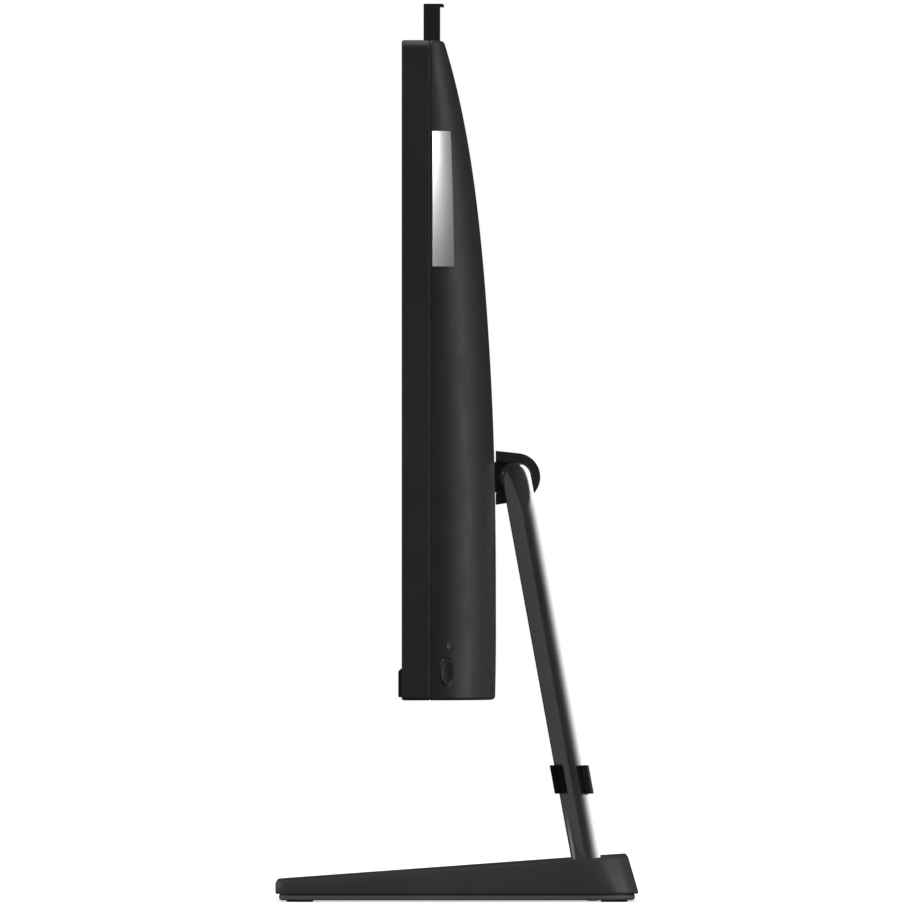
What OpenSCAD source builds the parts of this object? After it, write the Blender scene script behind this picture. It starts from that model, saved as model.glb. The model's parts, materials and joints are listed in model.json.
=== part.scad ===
// All-in-one desktop computer on a bent tube stand, in millimetres.
// +Z is up and -Y is the side that the screen faces. The origin is on the table,
// under the middle of the object.

/* [Display] */
// Width of the display
display_w = 541; // [520:1:560]
// Height of the display
display_h = 333.4; // [325:0.1:345]
// Height of the display's lower edge above the table
display_lift = 102.9; // [100:0.1:108]
// Y of the screen's front plane
front_y = -27.9; // [-29:0.1:-27]
// Thickness of the front frame, up to the seam with the back cover
frame_t = 14.2; // [14:0.1:16]
// Depth of the back cover behind the seam, at its deepest
cover_depth = 33.6; // [32:0.1:36]
// Depth of the back cover at its top edge
cover_top_depth = 7.2; // [7:0.1:9]
// Wall of the back cover
cover_wall = 2; // [1.6:0.1:2.5]
// Corner radius at the top of the display
corner_top_r = 3.5; // [2:0.1:5]
// Corner radius at the bottom of the display
corner_bottom_r = 2; // [1:0.1:3]
// Border at the sides and the top of the screen
bezel = 7; // [6:0.1:9]
// Height of the chin under the screen
chin_h = 29.9; // [28:0.1:32]

/* [Stand] */
// Outer diameter of the stand tube
tube_d = 14.5; // [12:0.1:16]
// Wall of the stand tube
tube_wall = 1.6; // [1:0.1:2.5]
// Y of the tilt axis, which is also the tube's crossbar
axis_y = 30.3; // [29:0.1:32]
// Z of the tilt axis
axis_z = 216.4; // [210:0.1:220]
// Lean of the legs
lean = 10.34; // [8:0.01:12]
// Distance between the axes of the two legs
leg_spacing = 160; // [150:1:180]
// Radius of the tube's bends, at its axis
bend_r = 24; // [20:1:26]

/* [Base] */
// Width of the base
base_w = 240; // [220:1:260]
// Depth of the base
base_d = 184.8; // [180:0.1:190]
// Height of the base's top at its front edge
base_front_h = 10.5; // [10.5:0.1:13]
// Height of the base's top at its rear edge
base_rear_h = 23.6; // [23:0.1:26]
// Radius of the base's two front corners, seen from above
base_front_r = 10; // [6:0.5:14]
// Radius of the base's two rear corners, seen from above
base_rear_r = 24; // [14:0.5:28]

/* [Hinge] */
// Width of the hinge housing
hinge_w = 96; // [90:1:104]
// Radius of the hinge housing's round end
hinge_r = 12.2; // [11.8:0.1:13]

/* [Camera] */
// Width of the pop-up camera
camera_w = 44; // [36:1:56]
// Height of the raised camera's top above the display
camera_rise = 22; // [18:0.1:24]

/* [Power button] */
// Diameter of the power button
button_d = 14.2; // [13:0.1:17]
// Height of the power button's centre above the table
button_z = 117.2; // [116:0.1:119]

/* [Hidden] */
$fn = 64;

// Colours
black = [0.06, 0.06, 0.065];
dark = [0.12, 0.12, 0.13];
silver = [0.78, 0.79, 0.8];
steel = [0.55, 0.56, 0.58];
board_green = [0.05, 0.22, 0.12];
copper = [0.72, 0.42, 0.25];
gold = [0.8, 0.65, 0.3];

// Display
half_w = display_w / 2;
display_top = display_lift + display_h;
display_mid = display_lift + display_h / 2;
seam_y = front_y + frame_t;
rim = 0.6; // straight rim of the back cover before its surface slopes
screen_bottom = display_lift + chin_h;
screen_top = display_top - bezel;
frame_wall = 2.2;
lip_t = 1.4; // thickness of the frame's front face
fade = 82; // how fast the back cover gets deeper below its top edge
shoulder = 218; // where the depth settles
taper_from = 300; // distance below the top where the cover tapers in again
taper = 0.0004;

// Panel stack, from the front to the back
glass_y = front_y + lip_t + 0.1;
glass_t = 2.2;
backlight_y = glass_y + glass_t + 0.1;
chassis_y = -19.2;
chassis_t = 1;
board_y = -13;
board_t = 1.6;
board_back = board_y + board_t;
chassis_back = chassis_y + chassis_t;

// Stand
tube_r = tube_d / 2;
leg_x = leg_spacing / 2;
leg_end_z = 6.5;
leg_len = (axis_z - leg_end_z) / cos(lean);
running_gap = 0.05; // radial gap of the running fits on the tube

// Base
half_d = base_d / 2;
shell_z = 4.1; // height of the base shell's lower edge
foot_h = 0.9;
foot_d = 13.7;
foot_y = 80;
foot_x = 96;
shell_wall = 2.5;
rear_top_y = half_d - 5.2;
top_slope = (base_rear_h - base_front_h) / (rear_top_y + half_d);
shell_screw_spots = [[-60, -80], [60, -80], [-106, -10], [106, -10], [-30, 80], [30, 80]];
leg_screw_spots = [[-95, 69], [-65, 69], [65, 69], [95, 69]];

// Hinge
housing_y = 19.8; // front rim of the hinge housing
housing_rise = 13.4; // the rim's upper edge above the tilt axis
housing_drop = 14; // and its lower edge below it
channel_r = 8;
bush_r = 10.2;
bush_w = 20;
bush_x = 30;
core_w = 88;
core_h = 15.4;
bridge_y = 13.5; // mount bracket's bridge, behind the chassis
bridge_t = 2;
bracket_half_w = 54;
bracket_z = [180, 250];
hinge_screw_spots = [[-12, -4], [12, -4], [-12, 4], [12, 4]];

// Ports
io_half_w = 62;
io_z = [128, 150];
io_mid_z = 139;
io_face_y = 10.3;
port_y = io_face_y + 0.5;

// Speakers
speaker_x = 190;
bar_w = 470;
bar_t = 1.8;
bar_z = [104.4, 118.5];
bar_round = 1.5;

// Camera
camera_y = [-17.1, -8.6];
camera_top = display_top + camera_rise;
cap_t = 1.3;
cap_rear_y = -6.6;
slide_gap = 0.3;
camera_low = 412;
lens_z = camera_top - 8.7;

// Button
button_y = -5.1;
led_y = -4.3;
led_z = 130.4;
button_gap = 0.3;

// Screws
cover_screw_spots = [[-140, 140], [140, 140], [-140, 380], [140, 380]];
board_screw_spots = [
    [-231, 225], [-231, 285], [-109, 285], [-73, 250], [-155, 137], [57, 167], [-50, 167]
];

// Vents: rows of upright slots
vent_pitch = 12;
vent_w = 3.4;
top_vent_z = [398, 421];
low_vent_z = [160, 188];
top_vent_x = [for (i = [-15:15]) i * vent_pitch];
low_vent_x = [for (i = [0:5], side = [-1, 1]) side * (84 + i * vent_pitch)];

// ---------------------------------------------------------------- shared shapes

// Depth of the back cover behind the seam, t below the top edge
function depth(t) =
    cover_depth - (cover_depth - cover_top_depth) * exp(-t / fade - pow(t / shoulder, 5))
    - taper * pow(max(0, t - taper_from), 2);

// How squarely the cover's section turns at its sides, so that the side slope stays alike
function side_power(d) = (0.45 + 0.0065 * d) * half_w / (d - rim);

// Y of the back cover's outer surface
function back_y(x, z) =
    let (d = depth(max(0, display_top - z)))
    seam_y + rim + (d - rim) * (1 - pow(min(1, abs(x) / half_w), side_power(d)));

// X of the outer surface on the +X side, for a given Y and Z
function side_x(y, z) =
    let (d = depth(display_top - z))
    half_w * pow(1 - (y - seam_y - rim) / (d - rim), 1 / side_power(d));

// Angle of the outer surface's normal from +Y towards +X
function side_angle(x, z) = atan(back_y(x - 0.5, z) - back_y(x + 0.5, z));

// Point of a rounded corner: centre c, radius r, angle a
function arc_point(c, r, a) = c + r * [cos(a), sin(a)];

// Outline of the display seen from the front, inset by e, counter-clockwise from the right
function display_outline(e) =
    let (w = half_w - e, lo = display_lift + e, hi = display_top - e,
         rt = max(0.5, corner_top_r - e), rb = max(0.5, corner_bottom_r - e))
    concat(
        [for (i = [1:9]) [w, lo + rb + (hi - rt - lo - rb) * i / 10]],
        [for (a = [0:30:90]) arc_point([w - rt, hi - rt], rt, a)],
        [for (i = [7:-1:-7]) [(w - rt) * sin(90 * i / 8), hi]],
        [for (a = [90:30:180]) arc_point([rt - w, hi - rt], rt, a)],
        [for (i = [9:-1:1]) [-w, lo + rb + (hi - rt - lo - rb) * i / 10]],
        [for (a = [180:30:270]) arc_point([rb - w, lo + rb], rb, a)],
        [for (i = [-7:7]) [(w - rb) * sin(90 * i / 8), lo]],
        [for (a = [270:30:360]) arc_point([w - rb, lo + rb], rb, a)]
    );

// Rounded plate in the XZ plane, from y0 to y1, with true arcs at its corners
module display_plate(e, y0, y1) {
    w = half_w - e;
    lo = display_lift + e;
    hi = display_top - e;
    rt = max(0.5, corner_top_r - e);
    rb = max(0.5, corner_bottom_r - e);
    translate([0, y1, 0]) rotate([90, 0, 0]) linear_extrude(y1 - y0) union() {
        translate([-w, lo + rb]) square([2 * w, hi - rt - lo - rb]);
        translate([rb - w, lo]) square([2 * (w - rb), rb * 2]);
        translate([rt - w, hi - 2 * rt]) square([2 * (w - rt), rt * 2]);
        for (s = [-1, 1]) {
            translate([s * (w - rb), lo + rb]) circle(rb);
            translate([s * (w - rt), hi - rt]) circle(rt);
        }
    }
}

// Box between two corners
module block(x, y, z) {
    translate([x[0], y[0], z[0]]) cube([x[1] - x[0], y[1] - y[0], z[1] - z[0]]);
}

// Cylinder along Y
module y_rod(x, z, r, y) {
    translate([x, y[1], z]) rotate([90, 0, 0]) cylinder(r = r, h = y[1] - y[0]);
}

// Cylinder along X about the tilt axis
module axis_rod(r, w) {
    translate([-w / 2, axis_y, axis_z]) rotate([0, 90, 0]) cylinder(r = r, h = w);
}

// Puts children on the sloping side surface, with +Z along the outward normal
module on_side(y, z) {
    x = side_x(y, z);
    translate([x, y, z]) rotate([-90, 0, -side_angle(x, z)]) children();
}

// Puts children in the stand's leaning plane: crossbar along X, legs along -Z
module leaning() {
    translate([0, axis_y, axis_z]) rotate([lean, 0, 0]) children();
}

// Screw along +Z with its head at the bottom
module screw(head_r, head_h, shank_r, shank_l) {
    cylinder(r = head_r, h = head_h);
    translate([0, 0, head_h]) cylinder(r = shank_r, h = shank_l);
}

// ---------------------------------------------------------------- base

// Plan of the base with round corners, inset by e, as a tall prism
module base_plan(e, w, d, r_front, r_rear) {
    x = w / 2 - e;
    y = d / 2 - e;
    rf = r_front - e;
    rr = r_rear - e;
    translate([0, 0, -1]) linear_extrude(40) union() {
        translate([-x, rf - y]) square([2 * x, 2 * y - rf - rr]);
        translate([rf - x, -y]) square([2 * (x - rf), 2 * rf]);
        translate([rr - x, y - 2 * rr]) square([2 * (x - rr), 2 * rr]);
        for (s = [-1, 1]) {
            translate([s * (x - rf), rf - y]) circle(rf);
            translate([s * (x - rr), y - rr]) circle(rr);
        }
    }
}

// Side profile of the base shell, extruded over the whole width
module base_wedge(points) {
    rotate([90, 0, 90]) translate([0, 0, -base_w / 2]) linear_extrude(base_w) polygon(points);
}

function top_at(y) = base_front_h + (y + half_d) * top_slope;

module base_shell() color(black) {
    outer = [
        [-half_d, shell_z + 1], [1 - half_d, shell_z], [half_d - 0.9, shell_z], [half_d, shell_z + 0.9],
        [rear_top_y, base_rear_h], [1 - half_d, top_at(1 - half_d)], [-half_d, base_front_h - 0.9]
    ];
    w = shell_wall;
    inner = [
        [w - half_d, 0], [half_d - w, 0], [half_d - w - 0.7, shell_z + 0.9],
        [rear_top_y - w, top_at(rear_top_y - w) - w], [w - half_d, top_at(w - half_d) - w]
    ];
    difference() {
        union() {
            difference() {
                intersection() {
                    base_wedge(outer);
                    base_plan(0, base_w, base_d, base_front_r, base_rear_r);
                }
                intersection() {
                    base_wedge(inner);
                    base_plan(w, base_w, base_d, base_front_r, base_rear_r);
                }
            }
            for (p = shell_screw_spots)
                translate([p[0], p[1], shell_z]) cylinder(r = 4.2, h = top_at(p[1]) - shell_z - 1.5);
        }
        for (p = shell_screw_spots)
            translate([p[0], p[1], shell_z - 1]) cylinder(r = 1.6, h = 6);
        leaning() for (s = [-1, 1])
            translate([s * leg_x, 0, -leg_len - 5]) cylinder(r = tube_r + 0.3, h = 40);
    }
}

module base_plate() color(dark) {
    e = 2.4;
    profile = [
        [e - half_d, shell_z], [e - half_d, foot_h + 1.4], [e + 1.4 - half_d, foot_h],
        [half_d - 3.2, foot_h], [half_d - 1.8, foot_h + 1.4], [half_d - 1.8, shell_z]
    ];
    difference() {
        intersection() {
            base_wedge(profile);
            base_plan(1.8, base_w, base_d, base_front_r, base_rear_r);
        }
        for (x = [-foot_x, foot_x], y = [-foot_y, foot_y])
            translate([x, y, 0]) cylinder(d = foot_d + 0.3, h = foot_h + 0.8);
        for (p = shell_screw_spots) translate([p[0], p[1], 0]) {
            cylinder(r = 3.4, h = 2.5);
            cylinder(r = 1.7, h = 5);
        }
        for (p = leg_screw_spots) translate([p[0], p[1], 0]) {
            cylinder(r = 3.8, h = 2.5);
            cylinder(r = 2.1, h = 5);
        }
    }
}

module base_weight() color(steel) block([-96, 96], [-73, 48], [shell_z, 9]);

module base_feet() color(dark)
    for (x = [-foot_x, foot_x], y = [-foot_y, foot_y])
        translate([x, y, 0]) cylinder(d = foot_d, h = foot_h + 0.8);

module base_screws() color(steel)
    for (p = shell_screw_spots) translate([p[0], p[1], foot_h]) screw(3.1, 1.6, 1.5, 6);

module leg_screws() color(steel)
    for (p = leg_screw_spots) translate([p[0], p[1], foot_h]) screw(3.5, 1.6, 1.95, 4.5);

module leg_sockets() color(steel)
    for (s = [-1, 1]) difference() {
        union() {
            block([s * leg_x - 20, s * leg_x + 20], [55, 83], [shell_z, shell_z + 3]);
            intersection() {
                leaning() translate([s * leg_x, 0, -leg_len - 20]) cylinder(r = 10.5, h = 45);
                block([s * leg_x - 20, s * leg_x + 20], [50, 85], [shell_z, 18.5]);
            }
        }
        leaning() translate([s * leg_x, 0, -leg_len - 25])
            cylinder(r = tube_r + running_gap, h = 60);
        for (x = [-15, 15]) translate([s * leg_x + x, 69, 0]) cylinder(r = 2, h = 20);
    }

// ---------------------------------------------------------------- stand tube and cable clip

// Half of the bent tube's run, with radius r; extra lengthens the leg past its end
module half_run(r, extra) {
    rotate([0, 90, 0]) cylinder(r = r, h = leg_x - bend_r);
    translate([leg_x - bend_r, 0, -bend_r]) rotate([90, 0, 0])
        rotate_extrude(angle = 90) translate([bend_r, 0]) circle(r);
    translate([leg_x, 0, -leg_len - extra]) cylinder(r = r, h = leg_len - bend_r + extra);
}

module stand_tube() color(silver) leaning() difference() {
    union() for (m = [0, 1]) mirror([m, 0, 0]) half_run(tube_r, 0);
    union() for (m = [0, 1]) mirror([m, 0, 0]) half_run(tube_r - tube_wall, 5);
}

clip_z = [55, 69.5];
clip_r = 9.8;
clip_mouth = 4.5; // half the mouth that the clip snaps on through
loop_x = -14.6; // cable loop's axis, from the leg's axis towards the middle
loop_r = 5;
loop_wall = 1.8;

module cable_clip() color(black) intersection() {
    leaning() translate([leg_x, 0, -leg_len]) difference() {
        union() {
            cylinder(r = clip_r, h = 120);
            translate([loop_x, 0, 0]) cylinder(r = loop_r + loop_wall, h = 120);
            translate([loop_x, -3, 0]) cube([-loop_x - tube_r, 6, 120]);
        }
        translate([0, 0, -1]) cylinder(r = tube_r + running_gap, h = 122);
        translate([0, -clip_mouth, -1]) cube([20, 2 * clip_mouth, 122]);
        translate([loop_x, 0, -1]) cylinder(r = loop_r, h = 122);
        translate([loop_x - 10, -2.4, -1]) cube([10, 4.8, 122]);
    }
    block([40, 110], [30, 90], clip_z);
}

// ---------------------------------------------------------------- hinge

// Tangent point on the round end for a line from point p; side is 1 above and -1 below
function tangent_point(p, side) =
    let (v = p - [axis_y, axis_z], a = atan2(v[1], v[0]) - side * acos(hinge_r / norm(v)))
    [axis_y, axis_z] + hinge_r * [cos(a), sin(a)];

module hinge_housing() color(black) {
    upper = [housing_y, axis_z + housing_rise];
    lower = [housing_y, axis_z - housing_drop];
    difference() {
        rotate([90, 0, 90]) translate([0, 0, -hinge_w / 2]) linear_extrude(hinge_w) union() {
            polygon([upper, lower, tangent_point(lower, -1), [axis_y, axis_z], tangent_point(upper, 1)]);
            translate([axis_y, axis_z]) circle(hinge_r);
        }
        axis_rod(channel_r, hinge_w + 2);
        block([-60, 60], [housing_y - 3, axis_y], [axis_z - channel_r, axis_z + channel_r]);
        for (s = [-1, 1]) translate([s * bush_x, 0, 0]) {
            axis_rod(bush_r + 0.1, bush_w + 0.4);
            block([-bush_w / 2 - 0.2, bush_w / 2 + 0.2], [housing_y - 3, axis_y],
                  [axis_z - bush_r - 0.1, axis_z + bush_r + 0.1]);
        }
    }
}

module hinge_core() color(dark) difference() {
    block([-core_w / 2, core_w / 2], [bridge_y + bridge_t, axis_y - 3],
          [axis_z - core_h / 2, axis_z + core_h / 2]);
    axis_rod(channel_r + 0.4, core_w + 2);
    for (s = [-1, 1]) translate([s * bush_x, 0, 0])
        block([-bush_w / 2 - 0.2, bush_w / 2 + 0.2], [housing_y + 0.2, axis_y],
              [axis_z - 10, axis_z + 10]);
    for (p = hinge_screw_spots) y_rod(p[0], axis_z + p[1], 1.95, [10, 21.2]);
}

module hinge_bushes() color(steel) for (s = [-1, 1]) translate([s * bush_x, 0, 0]) difference() {
    union() {
        axis_rod(bush_r, bush_w);
        block([-bush_w / 2, bush_w / 2], [housing_y + 0.8, axis_y - 5], [axis_z - 7, axis_z + 7]);
    }
    axis_rod(tube_r + running_gap, bush_w + 2);
}

module mount_bracket() color(steel) {
    b = bracket_half_w;
    y1 = bridge_y + bridge_t;
    difference() {
        union() {
            block([-b, b], [bridge_y, y1], bracket_z);
            for (s = [-1, 1]) {
                block([s * b - 0.75, s * b + 0.75], [chassis_back, y1], bracket_z);
                block([s * (b + 6) - 6.5, s * (b + 6) + 6.5], [chassis_back, chassis_back + 1.5], bracket_z);
            }
        }
        for (p = hinge_screw_spots) y_rod(p[0], axis_z + p[1], 2.1, [0, 20]);
        for (x = [-32, 32], z = [190, 240]) y_rod(x, z, 8, [0, 20]);
    }
}

module hinge_screws() color(steel) for (p = hinge_screw_spots)
    translate([p[0], bridge_y - 2.2, axis_z + p[1]]) rotate([-90, 0, 0]) screw(3.2, 2.2, 1.9, 7.5);

// ---------------------------------------------------------------- back cover and front frame

// Skin of the back cover: an outer and an inner bulge joined at the seam
module cover_skin() {
    outer_rim = display_outline(0);
    inner_rim = display_outline(cover_wall);
    n = len(outer_rim);
    scales = [1, 0.985, 0.96, 0.925, 0.87, 0.79, 0.67, 0.5, 0.27];
    rings = len(scales);
    centre = [0, display_mid];
    wall_y = cover_wall * 1.15;
    function shrink(p, s) = centre + s * (p - centre);
    function outer_at(p) = [p[0], back_y(p[0], p[1]), p[1]];
    function inner_at(p) = [p[0], max(seam_y + 0.3, back_y(p[0], p[1]) - wall_y), p[1]];
    points = concat(
        [for (p = outer_rim) [p[0], seam_y, p[1]]],
        [for (s = scales, p = outer_rim) outer_at(shrink(p, s))],
        [outer_at(centre)],
        [for (p = inner_rim) [p[0], seam_y, p[1]]],
        [for (s = scales, p = inner_rim) inner_at(shrink(p, s))],
        [inner_at(centre)]
    );
    inner_start = n * (rings + 1) + 1;
    // Faces of one bulge; flip turns them over
    function bulge(start, flip) = concat(
        [for (k = [0:rings - 1], i = [0:n - 1], half = [0, 1])
            let (a = start + k * n + i, b = start + k * n + (i + 1) % n, c = a + n, d = b + n,
                 f = half == 0 ? [a, b, d] : [a, d, c])
            flip ? f : [f[2], f[1], f[0]]],
        [for (i = [0:n - 1])
            let (a = start + rings * n + i, b = start + rings * n + (i + 1) % n,
                 f = [a, b, start + (rings + 1) * n])
            flip ? f : [f[2], f[1], f[0]]]
    );
    seam = [for (i = [0:n - 1], half = [0, 1])
        let (j = (i + 1) % n)
        half == 0 ? [inner_start + j, j, i] : [inner_start + i, inner_start + j, i]];
    polyhedron(points = points, faces = concat(bulge(0, true), bulge(inner_start, false), seam));
}

module back_cover() color(black) difference() {
    union() {
        cover_skin();
        block([-io_half_w - 1.5, io_half_w + 1.5], [io_face_y - 2, 18.5], [io_z[0] - 1.5, io_z[1] + 1.5]);
        for (p = cover_screw_spots)
            y_rod(p[0], p[1], 4.5, [chassis_back, back_y(p[0], p[1]) - 1]);
    }
    block([-io_half_w, io_half_w], [0, 30], io_z);
    block([-core_w / 2 - 1, core_w / 2 + 1], [10, 30], [axis_z - 9, axis_z + 9]);
    block([-camera_w / 2 - slide_gap, camera_w / 2 + slide_gap], [-30, camera_y[1] + slide_gap],
          [400, display_top + 5]);
    for (x = top_vent_x)
        block([x - vent_w / 2, x + vent_w / 2], [-12, 30], top_vent_z);
    for (x = low_vent_x)
        block([x - vent_w / 2, x + vent_w / 2], [-12, 30], low_vent_z);
    for (p = cover_screw_spots) {
        y_rod(p[0], p[1], 1.6, [chassis_y - 5, 30]);
        y_rod(p[0], p[1], 3.3, [back_y(p[0], p[1]) - 4, 30]);
    }
    on_side(button_y, button_z) translate([0, 0, -6]) cylinder(d = button_d + 2 * button_gap, h = 12);
    on_side(led_y, led_z) translate([0, 0, -6]) cylinder(r = 1.45, h = 12);
    block([130, 133.4], [0, 30], [130, 137]);
}

// Thin plate that follows the sloping side, from height z0 to z1
module badge_plate() {
    z0 = 321.8;
    z1 = 390.6;
    x0 = half_w - 22.3;
    x1 = half_w - 0.2;
    nx = 5;
    nz = 10;
    row = nx + 1;
    size = row * (nz + 1);
    function at(i, j, lift) =
        let (x = x0 + (x1 - x0) * i / nx, z = z0 + (z1 - z0) * j / nz)
        [x, back_y(x, z) + lift, z];
    points = concat(
        [for (j = [0:nz], i = [0:nx]) at(i, j, 0.2)],
        [for (j = [0:nz], i = [0:nx]) at(i, j, 0.6)]
    );
    skins = [for (j = [0:nz - 1], i = [0:nx - 1], half = [0, 1], top = [0, 1])
        let (a = top * size + j * row + i, b = a + 1, c = a + row, d = c + 1,
             f = half == 0 ? [a, b, d] : [a, d, c])
        top == 1 ? f : [f[2], f[1], f[0]]];
    edge = concat(
        [for (i = [0:nx - 1]) i],
        [for (j = [0:nz - 1]) j * row + nx],
        [for (i = [nx:-1:1]) nz * row + i],
        [for (j = [nz:-1:1]) j * row]
    );
    m = len(edge);
    walls = [for (k = [0:m - 1], half = [0, 1])
        let (a = edge[k], b = edge[(k + 1) % m])
        half == 0 ? [a, b, b + size] : [a, b + size, a + size]];
    color(silver) polyhedron(points = points, faces = concat(skins, walls));
}

module front_frame() color(black) difference() {
    display_plate(0, front_y, seam_y);
    display_plate(frame_wall, front_y + lip_t, seam_y + 1);
    block([bezel - half_w, half_w - bezel], [front_y - 1, front_y + 5], [screen_bottom, screen_top]);
    block([-camera_w / 2 - slide_gap, camera_w / 2 + slide_gap],
          [camera_y[0] - slide_gap, seam_y + 1], [400, display_top + 5]);
    for (s = [-1, 1])
        block([s * speaker_x - 24, s * speaker_x + 24], [front_y - 1, front_y + 5], [107, 115]);
}

module lcd_panel() color([0.02, 0.02, 0.025])
    block([-266.8, 266.8], [glass_y, glass_y + glass_t], [screen_bottom - 3, screen_top + 4.2]);

module backlight_module() color(silver) difference() {
    block([-267, 267], [backlight_y, chassis_y - 0.3], [124, screen_top + 4.4]);
    block([-262, 262], [chassis_y - 1.3, chassis_y + 1], [200, 360]);
}

module panel_board() color(board_green) {
    block([-120, 120], [-22, -20.8], [106, 120]);
    for (x = [-80, -30, 40]) block([x - 7, x + 7], [-20.8, -19.6], [109, 117]);
}

module speaker_bar() color(dark) difference() {
    rotate([90, 0, 90]) translate([0, 0, -bar_w / 2]) linear_extrude(bar_w) intersection() {
        translate([front_y - bar_t, bar_z[0]]) square([bar_t, bar_z[1] - bar_z[0]]);
        union() {
            translate([front_y - bar_t, bar_z[0]]) square([bar_t, bar_z[1] - bar_z[0] - bar_round]);
            translate([front_y - bar_t + bar_round, bar_z[1] - 2 * bar_round])
                square([bar_t, 2 * bar_round]);
            translate([front_y - bar_t + bar_round, bar_z[1] - bar_round]) circle(bar_round);
        }
    }
    for (s = [-1, 1], i = [-5:5])
        block([s * speaker_x + i * 4 - 0.8, s * speaker_x + i * 4 + 0.8], [front_y - 3, front_y + 1],
              [107.5, 114.5]);
}

// ---------------------------------------------------------------- chassis and electronics

module chassis() color(steel) difference() {
    union() {
        block([-258, 258], [chassis_y, chassis_back], [124, 430]);
        for (p = board_screw_spots) y_rod(p[0], p[1], 3, [chassis_back, board_y]);
        for (s = [-1, 1]) block([s * 257 - 1, s * 257 + 1], [chassis_back, -15], [140, 425]);
    }
    for (p = board_screw_spots) y_rod(p[0], p[1], 1.3, [-30, 0]);
    for (p = cover_screw_spots) y_rod(p[0], p[1], 1.6, [-30, 0]);
    block([-40, 40], [-30, 0], [300, 390]);
    block([-160, -60], [-30, 0], [124, 128]);
}

module mainboard() color(board_green) difference() {
    translate([0, board_back, 0]) rotate([90, 0, 0]) linear_extrude(board_t)
        polygon([
            [-236, 132], [-68, 132], [-68, 124], [62, 124], [62, 172], [-68, 172],
            [-68, 256], [-104, 256], [-104, 292], [-236, 292]
        ]);
    for (p = board_screw_spots) y_rod(p[0], p[1], 1.4, [-30, 0]);
    for (p = cover_screw_spots) y_rod(p[0], p[1], 5, [-30, 0]);
}

module board_screws() color(steel) for (p = board_screw_spots)
    translate([p[0], board_back + 1.4, p[1]]) rotate([90, 0, 0]) screw(2.6, 1.4, 1.25, 5);

module cover_screws() color(steel) for (p = cover_screw_spots) {
    y = back_y(p[0], p[1]) - 2;
    translate([p[0], y, p[1]]) rotate([90, 0, 0]) screw(3, 2, 1.5, y - 2.2 - chassis_y);
}

cpu_x = -118;
cpu_z = 215;
module processor() color([0.2, 0.3, 0.25]) union() {
    block([cpu_x - 19, cpu_x + 19], [board_back, -9.4], [cpu_z - 19, cpu_z + 19]);
    block([cpu_x - 14, cpu_x + 14], [-9.4, -8.4], [cpu_z - 14, cpu_z + 14]);
}

module cold_plate() color(copper) difference() {
    block([cpu_x - 25, cpu_x + 25], [-8.4, -5], [cpu_z - 25, cpu_z + 25]);
    for (x = [-22, 22], z = [-22, 22]) y_rod(cpu_x + x, cpu_z + z, 1.6, [-12, 0]);
}

pipe_r = 2.5;
pipe_y = -5 + pipe_r;
pipe_bend = 12;
pipe_runs = [[-124, 350], [-112, 341]];
fins_x = [-98, -26];
module heat_pipes() color(copper) for (p = pipe_runs) {
    translate([p[0], pipe_y, 195]) cylinder(r = pipe_r, h = p[1] - pipe_bend - 195);
    translate([p[0] + pipe_bend, pipe_y, p[1] - pipe_bend]) rotate([90, 0, 0]) mirror([1, 0, 0])
        rotate_extrude(angle = 90) translate([pipe_bend, 0]) circle(pipe_r);
    translate([p[0] + pipe_bend, pipe_y, p[1]]) rotate([0, 90, 0])
        cylinder(r = pipe_r, h = fins_x[1] + 1 - p[0] - pipe_bend);
}

module fin_stack() color(silver) difference() {
    union() {
        for (x = [fins_x[0]:3:fins_x[1]]) block([x, x + 0.5], [-15, 1], [337, 354]);
        block([fins_x[0], fins_x[1] + 0.5], [-15.4, -15], [337, 354]);
    }
    for (p = pipe_runs) translate([-110, pipe_y, p[1]]) rotate([0, 90, 0])
        cylinder(r = pipe_r + 0.05, h = 100);
}

fan_x = -62;
fan_z = 299;
fan_r = 31;
module fan_housing() color(dark) difference() {
    block([-99, -25], [-16, -3], [262, 336]);
    y_rod(fan_x, fan_z, fan_r + 2, [-15, -4]);
    block([-92, -32], [-15, -4], [fan_z, 340]);
    y_rod(fan_x, fan_z, 19, [-8, 0]);
    y_rod(fan_x, fan_z, 1.55, [-20, -14]);
}

// Blade of the fan as a short leaning bar in the rotor's plane
module blade(a) {
    rotate(a) translate([19, 0]) rotate(35) square([12.5, 0.9]);
}

module fan_rotor() color(black) translate([fan_x, -4.8, fan_z]) rotate([90, 0, 0]) union() {
    linear_extrude(9) union() {
        difference() {
            circle(20);
            circle(18.6);
        }
        for (i = [0:26]) blade(i * 360 / 27);
    }
    translate([0, 0, 8]) cylinder(r = 20, h = 1);
    translate([0, 0, 1]) cylinder(r = 11, h = 7.5);
    translate([0, 0, 8.5]) cylinder(r = 1.5, h = 2.5);
}

module memory_sockets() color(dark) for (z = [136, 171])
    block([-233, -163], [board_back, -4.5], [z, z + 6]);

module memory_modules() color(board_green) for (z = [136, 171]) {
    block([-232, -164], [-8, -6.8], [z + 6, z + 32]);
    for (i = [0:3]) block([-229 + i * 17, -219 + i * 17], [-6.8, -5.8], [z + 12, z + 26]);
}

module ssd_module() color(board_green) {
    block([-232, -152], [-8.6, -7.8], [250, 272]);
    block([-158, -152], [board_back, -8.6], [250, 272]);
    for (x = [-226, -204, -180]) block([x, x + 16], [-7.8, -6.6], [253, 269]);
}

module wireless_card() color(board_green) {
    block([-150, -128], [-8.6, -7.8], [248, 278]);
    block([-150, -128], [board_back, -8.6], [248, 253]);
    block([-146, -132], [-7.8, -6.2], [257, 273]);
}

module antennas() color(gold) for (s = [-1, 1])
    block([s * 150 - 24, s * 150 + 24], [-17.6, -17], [424, 431]);

module coin_cell() color(silver) y_rod(-90, 150, 10, [board_back, board_back + 3.2]);

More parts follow.
